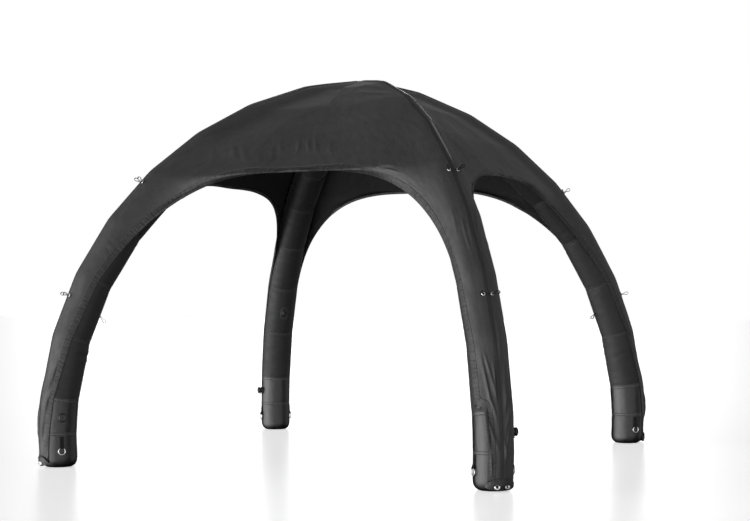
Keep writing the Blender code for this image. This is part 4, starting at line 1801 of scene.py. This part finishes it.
@dataclass
class Boots:
    """The vinyl boots with their welded seams."""

    finishes: Finishes
    edge: Pairs = ((0.0, 0.68), (0.004, 0.755), (0.012, 0.85), (0.022, 0.92), (0.034, 0.965), (0.046, 0.989),
                   (0.060, 1.0))      # heights, and the radius at each as a share of the tube's
    step: float = 0.009
    sides: int = 90
    dent: float = 0.0026
    slack: float = 0.0009
    pinch: float = 0.0016
    seam_widths: tuple[float, ...] = (0.024, 0.026)

    def _radius(self, along: float, turn: float, seed: float) -> float:
        """Distance of the vinyl from the leg's axis.

        Args:
            along: Distance along the leg.
            turn: Angle round it.
            seed: Place in the random dents.

        Returns:
            The distance.
        """
        seam = min(abs(along - height) for height in LEG.boot_heights[1:])
        around = Vector((math.cos(turn) * 3.4, math.sin(turn) * 3.4, along * 13.0 + seed))
        soft, small = noise.noise(around), noise.noise(around * 2.7)
        loose = min(along / 0.05, 1.0)
        dents = self.dent * loose * (0.45 * soft + 0.3 * small * (0.4 + bell(seam, 0.05)))
        radius = LEG.tube_radius * read_off(self.edge, along)
        return radius - self.slack * loose - self.pinch * bell(seam, 0.012) + dents

    def _mesh(self, leg: Leg) -> Mesh:
        """Mesh of one boot.

        Args:
            leg: The leg that stands in it.

        Returns:
            The mesh.
        """
        seed = 5.3 * leg.number
        top, low = LEG.boot_heights[-1], self.edge[-1][0]
        count = round((top - low) / self.step)
        stations = [along for along, _ in self.edge[:-1]]
        stations += [low + (top - 0.0003 - low) * i / count for i in range(count + 1)]
        return tube_skin(stations, self.sides, lambda along, turn: self._radius(along, turn, seed)).mesh(50.0)

    def build(self) -> None:
        """Make the boots and their seams."""
        for leg in Leg:
            make_piece(f"boot_shell_{leg.label}", self._mesh(leg), self.finishes.boot, leg.matrix,
                       f"boot_{leg.label}")
            seams = Patch()
            for width, height in zip(self.seam_widths, LEG.boot_heights[1:]):
                SeamBand(width).add(seams, height, LEG.tube_radius - 0.0018)
            make_piece(f"boot_seams_{leg.label}", seams.mesh(50.0), self.finishes.boot_seam, leg.matrix)


# Fittings


@dataclass
class EyeletFlaps:
    """Flap round the outer side of each foot, with two eyelets to pin it down."""

    finishes: Finishes
    section: Pairs = ((0.008, 0.1170), (0.034, 0.1256), (0.054, 0.1248), (0.074, 0.1196))   # height and radius
    end_radius: float = 0.1172
    skin_radius: float = 0.126
    half_angle: float = math.radians(46.0)
    thickness: float = 0.0024
    lowering: float = 0.5           # share of its height that the top loses at the ends
    rise: float = 0.020             # how far the lower edge rises there
    wrinkles: Pair = (0.0030, 0.0016)
    cells: tuple[int, int] = (40, 112)
    eyelet_angle: float = math.radians(14.0)
    eyelet_height: float = 0.030
    opening: float = 0.0105
    rim: Pairs = ((0.0078, -0.0040), (0.0078, 0.0012), (0.0088, 0.0026), (0.0120, 0.0032), (0.0152, 0.0026),
                  (0.0170, 0.0008), (0.0166, -0.0004), (0.0105, -0.0006), (0.0098, -0.0040))

    def _eyelet(self, side: float) -> tuple[Vector, Vector]:
        """Middle of an eyelet on the flap's outer face, and the direction out of it."""
        turn = side * self.eyelet_angle
        radius = read_off(self.section, self.eyelet_height) + self.thickness
        return LEG.skin_point(self.eyelet_height, turn, radius), Vector((math.cos(turn), math.sin(turn), 0.0))

    def _point(self, share: float, place: float, seed: float, middles: list[Vector]) -> Vector:
        """Point of the flap's outer face.

        Args:
            share: Share of its height.
            place: Place round it, from -1 to 1.
            seed: Place in the random wrinkles.
            middles: The eyelets' middles, round which it lies calm.

        Returns:
            The point in the leg's frame.
        """
        turn, side = self.half_angle * place, abs(place)
        ends = 1.0 - side ** 4
        top = self.section[-1][0] * (1.0 - self.lowering * side ** 3)
        low = self.section[0][0] + self.rise * side ** 3
        height = low + (top - low) * share
        wide = noise.noise(Vector((turn * 5.0, height * 130.0, seed)))
        fine = noise.noise(Vector((turn * 14.0, height * 60.0, seed + 4.0)))
        near = min((LEG.skin_point(height, turn, self.skin_radius) - middle).length for middle in middles)
        calm = min(max((near - 0.017) / 0.012, 0.0), 1.0)
        lift = calm * ends * (self.wrinkles[0] * abs(wide) + self.wrinkles[1] * fine) * (0.3 + 0.7 * share)
        base = self.end_radius + (read_off(self.section, height) - self.end_radius) * ends
        return LEG.skin_point(height, turn, base + lift + self.thickness)

    def _mesh(self, leg: Leg) -> Mesh:
        """Mesh of one flap, open at its eyelets.

        Args:
            leg: The leg that it goes round.

        Returns:
            The mesh.
        """
        levels, columns = self.cells
        middles = [self._eyelet(side)[0] for side in SIDES]
        rows = []
        for i in range(levels + 1):
            places = [2 * j / columns - 1 for j in range(columns + 1)]
            rows.append([self._point(i / levels, place, 2.9 * leg.number, middles) for place in places])
        patch = Patch()
        heights = [0.066 * i / levels for i in range(levels + 1)]
        lengths = [self.half_angle * 2 * self.skin_radius * j / columns for j in range(columns + 1)]
        patch.add_strip(rows, across=heights, along=lengths)
        kept = []
        for face in patch.faces:
            centre = sum((patch.points[i] for i in face), Vector()) / len(face)
            if min((centre - middle).length for middle in middles) > self.opening:
                kept.append(face)
        patch.faces = kept
        return patch.mesh(recalc=False)

    def _rims(self) -> Mesh:
        """Mesh of both eyelets of a flap.

        Returns:
            The mesh.
        """
        patch = Patch()
        for side in reversed(SIDES):
            middle, out = self._eyelet(side)
            across = Vector((-out.y, out.x, 0.0))
            rings = [circle(radius, 40, middle + out * height, across, UP) for radius, height in self.rim]
            patch.add_strip(rings + [rings[0]], closed=True)
        return patch.mesh(60.0)

    def build(self) -> None:
        """Make the flaps and their eyelets."""
        for leg in Leg:
            flap = make_piece(f"foot_flap_{leg.label}", self._mesh(leg), self.finishes.flap, leg.matrix,
                              f"eyelet_flap_{leg.label}")
            solid = flap.modifiers.new("thickness", "SOLIDIFY")
            solid.thickness = self.thickness
            solid.offset = 1.0
            make_piece(f"eyelets_{leg.label}", self._rims(), self.finishes.steel, leg.matrix)


@dataclass
class Valves:
    """Inflation valve on the side of each boot, and the relief valve inside the back left leg."""

    finishes: Finishes
    height: float = 0.315
    relief_along: float = 0.995
    body: Pairs = (
        (0.0285, -0.0015), (0.0285, 0.0020), (0.0272, 0.0036), (0.0215, 0.0044), (0.0195, 0.0060),
        (0.0190, 0.0150), (0.0205, 0.0158), (0.0235, 0.0168), (0.0245, 0.0180), (0.0245, 0.0300),
        (0.0236, 0.0322), (0.0212, 0.0338), (0.0190, 0.0342), (0.0180, 0.0330), (0.0060, 0.0328),
        (0.0052, 0.0345), (0.0030, 0.0350))
    relief: Pairs = (
        (0.0270, -0.0010), (0.0270, 0.0026), (0.0258, 0.0042), (0.0212, 0.0050), (0.0200, 0.0066),
        (0.0200, 0.0165), (0.0190, 0.0188), (0.0168, 0.0200), (0.0150, 0.0194), (0.0142, 0.0172),
        (0.0060, 0.0170), (0.0052, 0.0200), (0.0030, 0.0206))
    welt: Pairs = ((0.70, 0.0012), (0.78, 0.0016), (0.84, 0.0034), (0.92, 0.0036), (0.97, 0.0022),
                   (1.0, -0.0010))
    patch_size: Pair = (0.0355, 0.058)

    @staticmethod
    def _place(leg: Leg, along: float, turn: float) -> Matrix:
        """Place of a fitting on a leg's skin.

        Args:
            leg: The leg.
            along: Distance along it.
            turn: Angle round it.

        Returns:
            The place, with its Y pointing out of the skin.
        """
        point = LEG.skin_point(along, turn, LEG.tube_radius)
        index = max(i for i, mitre in enumerate(MITRES) if mitre <= along)
        tilt = (LEG.lean(MITRES[index]) + LEG.lean(MITRES[index + 1])) / 2
        out = Vector((math.cos(turn) * math.cos(tilt), math.sin(turn), math.cos(turn) * math.sin(tilt)))
        up = Vector((-math.sin(tilt), 0.0, math.cos(tilt)))
        axes = Matrix((out.cross(up).normalized(), out, up)).transposed().to_4x4()
        return leg.matrix @ Matrix.Translation(point) @ axes

    @staticmethod
    def _tether() -> Mesh:
        """Mesh of the strap that keeps the cap on its valve.

        Returns:
            The mesh.
        """
        patch, path = Patch(), []
        for i in range(15):
            angle = math.pi * i / 14
            path.append(Vector((0.030 * math.cos(angle) * 0.9, 0.0175 - 0.0125 * math.cos(angle),
                                -0.0262 - 0.006 * math.sin(angle))))
        ribbon_along(patch, path, [-UP] * len(path), 0.0055, 0.0014)
        return patch.mesh(40.0)

    def _patch_ring(self) -> Mesh:
        """Mesh of the oval patch welded round the relief valve, with a raised rim.

        Returns:
            The mesh.
        """
        rings = []
        for share, height in self.welt:
            ring = []
            for angle in turns(72):
                x = self.patch_size[0] * share * math.cos(angle)
                z = self.patch_size[1] * share * math.sin(angle)
                ring.append(Vector((x, height - 0.5 * x * x / LEG.tube_radius, z)))
            rings.append(ring)
        under = [Vector((p.x, p.y - 0.001, p.z)) for p in rings[0]]
        patch = Patch()
        patch.add_strip([under] + rings + [under], closed=True)
        patch.add_cap(rings[0])
        return patch.mesh(40.0)

    def build(self) -> None:
        """Make the valves."""
        plastic = self.finishes.valve
        for leg in Leg:
            place = self._place(leg, self.height, math.pi / 2)
            valve = turned(self.body, 96, 24, 0.0011, (0.0175, 0.0325)).mesh(35.0)
            make_piece(f"fill_valve_{leg.label}", valve, plastic, place, f"inflation_valve_{leg.label}")
            make_piece(f"valve_tether_{leg.label}", self._tether(), plastic, place)
        place = self._place(Leg.BACK_LEFT, self.relief_along, math.pi)
        valve = turned(self.relief, 72, 18, 0.0008, (0.0066, 0.0165)).mesh(35.0)
        make_piece("pressure_valve", valve, plastic, place, "relief_valve")
        make_piece("pressure_valve_patch", self._patch_ring(), self.finishes.tube_seam, place)


@dataclass
class Anchors:
    """Webbing tabs with swinging steel rings on both sides of each boot."""

    finishes: Finishes
    hinge_height: float = 0.124
    standoff: float = 0.0084
    ring_radius: float = 0.0205
    wire: float = 0.003
    width: float = 0.024
    thickness: float = 0.0018
    top: float = 0.071
    tacks: tuple[float, ...] = (0.026, 0.030, 0.047, 0.050)

    def _place(self, leg: Leg, side: float) -> Matrix:
        """Place of a tab's ring axis.

        Args:
            leg: The leg.
            side: 1 or -1, for the side of the boot.

        Returns:
            The place, with Y out of the boot's side and Z up.
        """
        reach = LEG.skin_point(self.hinge_height, math.pi / 2, LEG.tube_radius).x
        spot = Matrix.Translation((reach, side * (LEG.tube_radius + self.standoff), self.hinge_height))
        turn = Matrix.Rotation(0.0 if side > 0 else math.pi, 4, "Z")
        return leg.matrix @ spot @ turn

    def _tab(self) -> Mesh:
        """Mesh of a tab: a strap that lies on the boot, passes round the ring and comes back over itself.

        Returns:
            The mesh.
        """
        back = 0.0003 - self.standoff
        front = back + self.thickness + 0.0004 + self.thickness
        rising = ((back, self.top), (back, 0.045), (back, 0.020), (back + 0.0006, 0.008))
        path = [Vector((0.0, y, z)) for y, z in rising]
        normals = [Vector((0.0, 1.0, 0.0))] * 3 + [Vector((0.0, 1.0, 0.1))]
        for i in range(13):
            angle = math.radians(185.0 + 190.0 * i / 12)
            out = Vector((0.0, math.cos(angle), math.sin(angle)))
            path.append(out * (self.wire + 0.0006 + self.thickness))
            normals.append(-out)
        falling = ((0.0012, 0.0095), (-0.0022, 0.017), (front, 0.027), (front, 0.052))
        path += [Vector((0.0, y, z)) for y, z in falling]
        normals += [Vector((0.0, -1.0, z)) for z in (-0.4, -0.3, 0.0, 0.0)]
        patch = Patch()
        ribbon_along(patch, path, normals, self.width, self.thickness)
        for height in self.tacks:
            tube_along(patch, [Vector((x, front, height)) for x in (-0.0095, 0.0, 0.0095)], 0.0007, 6)
        return patch.mesh(50.0)

    def _ring(self) -> Mesh:
        """Mesh of a ring that hangs below its axis.

        Returns:
            The mesh.
        """
        patch = Patch()
        path = circle(self.ring_radius, 60, -UP * self.ring_radius, UP, Vector((1, 0, 0)))
        tube_along(patch, path, self.wire, 14, closed=True)
        return patch.mesh()

    def build(self) -> None:
        """Make the tabs and the rings."""
        for leg in Leg:
            for number, side in ((1, 1.0), (2, -1.0)):
                place, label = self._place(leg, side), f"{leg.label}_{number}"
                make_piece(f"ring_tab_{label}", self._tab(), self.finishes.webbing, place,
                           f"anchor_loop_{label}")
                make_piece(f"steel_ring_{label}", self._ring(), self.finishes.steel, place,
                           f"anchor_ring_{label}", f"ring_{label}")


@dataclass
class TieOuts:
    """Pairs of eyes on the ridges, each with a webbing loop for a guy line, and the loops inside the legs."""

    finishes: Finishes
    cover: Cover
    levels: tuple[tuple[str, float], ...] = (("low", 1.06), ("high", 1.89))
    reach: float = 0.026
    inner_along: float = 1.005
    loop_side: Pairs = ((-0.004, 0.0000), (0.002, 0.0006), (0.012, 0.0010), (0.022, 0.0016), (0.031, 0.0052),
                        (0.040, 0.0078), (0.047, 0.0064), (0.0505, 0.0028))
    strap: Pair = (0.0085, 0.0024)
    base_half: float = 0.040
    base_section: Pairs = ((-0.0085, 0.0), (-0.0080, 0.0014), (0.0, 0.0016), (0.0080, 0.0014), (0.0085, 0.0),
                           (0.0, -0.0006))
    eye: Pairs = ((0.0055, -0.0010), (0.0055, 0.0026), (0.0066, 0.0036), (0.0086, 0.0040), (0.0106, 0.0032),
                  (0.0116, 0.0014), (0.0112, 0.0008), (0.0070, 0.0006), (0.0066, -0.0010))

    @staticmethod
    def _frame(along: float, turn: float, radius: float) -> tuple[Vector, Vector, Vector, Vector]:
        """Point on a leg's skin, and the directions out of it, round the leg and up along it."""
        high, low = (LEG.cloth_point(along + d, turn, radius) for d in (0.01, -0.01))
        out, up = LEG.outward(along, turn), (high - low).normalized()
        return LEG.cloth_point(along, turn, radius), out, up.cross(out).normalized(), up

    def _loop(self, patch: Patch, along: float, turn: float, radius: float, lean: float, drop: float) -> None:
        """Add a webbing loop that stands off the leg.

        Args:
            patch: Where it goes.
            along: Where it stands along the leg.
            turn: Where it stands round the leg.
            radius: Radius of the skin it is sewn to.
            lean: How far it leans round the leg.
            drop: How far it hangs down.
        """
        point, out, around, up = self._frame(along, turn, radius)
        direction = (out + around * lean - up * drop).normalized()
        across = (up - direction * up.dot(direction)).normalized()
        path = [point + direction * x + across * (y + 0.0008) for x, y in self.loop_side]
        path += [point + direction * x - across * (y + 0.0008) for x, y in reversed(self.loop_side)]
        facing = [across] * len(self.loop_side) + [-across] * len(self.loop_side)
        side = direction.cross(across)
        normals = []
        for i, normal in enumerate(facing):
            before, after = path[max(i - 1, 0)], path[min(i + 1, len(path) - 1)]
            away = (after - before).normalized().cross(side)
            normals.append(away if away.dot(normal) > 0 else -away)
        ribbon_along(patch, path, normals, *self.strap)

    def _seat(self, along: float, across: float) -> float:
        """Radius of the cover's outer face."""
        return self.cover.radius + self.cover.roof(along, across) + 0.0006

    def _base(self, patch: Patch, along: float) -> None:
        """Add the tape that carries a pair of eyes over the ridge.

        Args:
            patch: Where it goes.
            along: Where it lies along the leg.
        """
        sections = []
        for i in range(21):
            across = self.base_half * (2 * i / 20 - 1)
            seat, turn = self._seat(along, abs(across)), across / self.cover.radius
            sections.append([LEG.cloth_point(along + d, turn, seat + z) for d, z in self.base_section])
        closed_band(patch, sections, loop=False)

    def _eyes(self, along: float) -> Mesh:
        """Mesh of a pair of steel eyes.

        Args:
            along: Where they lie along the leg.

        Returns:
            The mesh.
        """
        patch = Patch()
        for side in SIDES:
            turn = side * self.reach / self.cover.radius
            point, out, around, up = self._frame(along, turn, self._seat(along, self.reach))
            rings = [circle(radius, 32, point + out * height, around, up) for radius, height in self.eye]
            patch.add_strip(rings + [rings[0]], closed=True)
        return patch.mesh(60.0)

    def _straps(self, along: float) -> Mesh:
        """Mesh of a pair of loops with the tape under them.

        Args:
            along: Where they lie along the leg.

        Returns:
            The mesh.
        """
        patch = Patch()
        self._base(patch, along)
        for side in SIDES:
            turn = side * self.reach / self.cover.radius
            self._loop(patch, along, turn, self._seat(along, self.reach), side * 0.35, 0.12)
        return patch.mesh(50.0)

    def build(self) -> None:
        """Make the tie-outs and the inner loops."""
        webbing = self.finishes.webbing
        for level, along in self.levels:
            for leg in Leg:
                make_piece(f"guy_loops_{level}_{leg.label}", self._straps(along), webbing, leg.matrix)
                make_piece(f"guy_eyes_{level}_{leg.label}", self._eyes(along), self.finishes.steel,
                           leg.matrix, f"tie_out_{level}_{leg.label}")
        for leg in (Leg.FRONT_RIGHT, Leg.BACK_RIGHT, Leg.FRONT_LEFT):
            patch = Patch()
            self._loop(patch, self.inner_along, math.pi, LEG.tube_radius, 0.0, 0.55)
            make_piece(f"inner_loop_{leg.label}", patch.mesh(50.0), webbing, leg.matrix)


@dataclass
class RidgeSeams:
    """Along each ridge a wide tape on one side, lighter than the cover as a painted highlight beside the ridge,
    and on it the felled seam where two panels are sewn together.
    """

    finishes: Finishes
    cover: Cover
    step: float = 0.012
    drift: float = 0.0007
    seam: Pairs = ((-0.0206, 0.0006), (-0.0200, 0.0018), (-0.0150, 0.0018), (-0.0100, 0.0018),
                   (-0.0050, 0.0022), (0.0, 0.0026), (0.0034, 0.0024), (0.0054, 0.0022), (0.0060, 0.0006),
                   (-0.0070, -0.0002))
    tape: Pairs = ((0.0, 0.0008), (0.20, 0.0010), (0.40, 0.0010), (0.60, 0.0010), (0.80, 0.0010),
                   (0.985, 0.0008), (1.0, -0.0002), (0.60, -0.0006), (0.20, -0.0006))
    # Widths of the tape, and so of the painted highlight, along the leg.
    highlight_tape_widths: Pairs = ((1.30, 0.008), (1.95, 0.014), (2.25, 0.034), (2.60, 0.040), (3.20, 0.012))

    def _mesh(self, leg: Leg, profile: Pairs, widths: Pairs) -> Mesh:
        """Mesh of a band along a ridge.

        Args:
            leg: The leg under it.
            profile: Distance across and height of each corner of its section.
            widths: Places along the leg, and what the distances across are multiplied by at each.

        Returns:
            The mesh.
        """
        low, high = widths[0][0], widths[-1][0]
        count = round((high - low) / self.step)
        sections, places = [], []
        for i in range(count + 1):
            along = low + (high - low) * i / count
            drift = self.drift * noise.noise(Vector((along * 9.0, 1.3 * leg.number, 0.0)))
            width, section = read_off(widths, along), []
            for share, height in profile:
                across = share * width
                seat = self.cover.radius + self.cover.roof(along, abs(across)) + 0.0002
                section.append(LEG.cloth_point(along, (across + drift) / self.cover.radius, seat + height))
                places.append((across, along))
            sections.append(section)
        patch = Patch()
        closed_band(patch, sections, loop=False)
        patch.lay_out(0, places)
        return patch.mesh(60.0)

    def build(self) -> None:
        """Make the tapes and the seams."""
        whole = ((self.cover.start + 0.004, 0.7), (1.4, 0.7), (1.9, 1.0), (LEG.length - 0.03, 1.0))
        for leg in Leg:
            seam, tape = self._mesh(leg, self.seam, whole), self._mesh(leg, self.tape, self.highlight_tape_widths)
            make_piece(f"ridge_seam_{leg.label}", seam, self.finishes.ridge, leg.matrix)
            # The tape's lighter colour paints the highlight on the cloth beside the ridge.
            make_piece(f"ridge_tape_{leg.label}", tape, self.finishes.ridge_tape, leg.matrix)


# Studio


@dataclass(frozen=True)
class Softbox:
    """A large soft light far away, by its direction in degrees; azimuth 0 is the camera's side."""

    azimuth: float
    elevation: float
    strength: float
    edge: Pair = (0.72, 0.98)      # cosines of the angles where it starts and where it is full


@dataclass
class Studio:
    """White floor, soft lights and the camera."""

    position: Triple = (4.2115, -9.1715, 1.0606)
    yaw: float = 0.422506
    pitch: float = 0.025137
    roll: float = -0.00198
    focal: float = 70.86
    floor_size: float = 60.0
    softboxes: tuple[Softbox, ...] = (
        Softbox(-85.0, 2.0, 3.00), Softbox(-50.0, -3.0, 2.30), Softbox(-20.0, -2.0, 0.95),
        Softbox(110.0, 8.0, 0.45), Softbox(35.0, 8.0, 1.00), Softbox(60.0, 48.0, 0.15),
        Softbox(0.0, 90.0, 0.07), Softbox(-85.0, -28.0, 1.05), Softbox(-40.0, -28.0, 0.10),
        Softbox(10.0, -28.0, 0.35),
        Softbox(180.0, 5.0, 2.20, (0.955, 0.99)), Softbox(150.0, 50.0, 0.50, (0.95, 0.99)))

    def build(self) -> None:
        """Make the floor, the lights, the world and the camera."""
        self._floor()
        self._world()
        self._camera()
        LOG.info("studio: %d soft lights", len(self.softboxes))

    def _floor(self) -> None:
        """Make the floor."""
        bm = bmesh.new()
        bmesh.ops.create_grid(bm, x_segments=2, y_segments=2, size=self.floor_size)
        mesh = bpy.data.meshes.new("floor")
        bm.to_mesh(mesh)
        bm.free()
        mesh.materials.append(StudioFloor().material())
        floor = bpy.data.objects.new("floor", mesh)
        bpy.context.scene.collection.objects.link(floor)
        floor.visible_diffuse = False
        floor.visible_glossy = False

    def _world(self) -> None:
        """White to the camera; to the rest, soft lights and the bright floor in front of the tent."""
        world = bpy.data.worlds.new("studio")
        world.use_nodes = True
        graph = NodeGraph(world.node_tree)
        direction = graph.add("TexCoord").outputs["Generated"]
        total = self._lobe(graph, direction, self.softboxes[0])
        for softbox in self.softboxes[1:]:
            total = graph.math("ADD", total, self._lobe(graph, direction, softbox))
        white = (1.0, 1.0, 1.0, 1.0)
        seen = graph.tree.nodes["Background"]
        seen.inputs["Color"].default_value = white
        lit = graph.add("Background", {"Color": white, "Strength": total})
        mix = graph.add("MixShader")
        sources = (graph.add("LightPath").outputs["Is Camera Ray"], lit.outputs[0], seen.outputs[0])
        for socket, source in zip(mix.inputs, sources):
            graph.feed(socket, source)
        graph.feed(graph.tree.nodes["World Output"].inputs["Surface"], mix.outputs[0])
        bpy.context.scene.world = world
        bpy.context.scene.view_settings.view_transform = "Standard"

    def _lobe(self, graph: NodeGraph, direction: Socket, softbox: Softbox) -> Socket:
        """Light that comes from round one direction.

        Args:
            graph: The world's nodes.
            direction: Where the light comes from.
            softbox: The light.

        Returns:
            The strength in each direction.
        """
        azimuth, elevation = self.yaw + math.radians(softbox.azimuth), math.radians(softbox.elevation)
        flat = Vector((math.sin(azimuth), -math.cos(azimuth), 0.0))
        node = graph.add("VectorMath", operation="DOT_PRODUCT")
        graph.feed(node.inputs[0], direction)
        graph.feed(node.inputs[1], flat * math.cos(elevation) + UP * math.sin(elevation))
        return graph.ramp(node.outputs["Value"], *softbox.edge, 0.0, softbox.strength, "SMOOTHSTEP")

    def _camera(self) -> None:
        """Make the camera at the photograph's viewpoint."""
        data = bpy.data.cameras.new("camera")
        data.lens = self.focal
        data.sensor_width = 36.0
        data.sensor_fit = "HORIZONTAL"
        data.clip_end = 200.0
        flat = math.cos(self.pitch)
        forward = Vector((-math.sin(self.yaw) * flat, math.cos(self.yaw) * flat, math.sin(self.pitch)))
        right = Vector((math.cos(self.yaw), math.sin(self.yaw), 0.0))
        up = right.cross(forward)
        level, tilt = math.cos(self.roll), math.sin(self.roll)
        right, up = right * level + up * tilt, up * level - right * tilt
        camera = bpy.data.objects.new("camera", data)
        axes = Matrix((right, up, -forward)).transposed().to_4x4()
        camera.matrix_world = Matrix.Translation(self.position) @ axes
        bpy.context.scene.collection.objects.link(camera)
        bpy.context.scene.camera = camera


def main() -> None:
    """Build the dressed tent."""
    logging.basicConfig(level=logging.INFO, format="%(name)s %(message)s")
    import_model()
    finishes = Finishes()
    cover = Cover(finishes)
    sub_assemblies = (cover, RidgeSeams(finishes, cover), AirLegs(finishes), Boots(finishes),
                      EyeletFlaps(finishes), Valves(finishes), Anchors(finishes), TieOuts(finishes, cover),
                      Studio())
    for sub_assembly in sub_assemblies:
        sub_assembly.build()


if __name__ == "__main__":
    main()
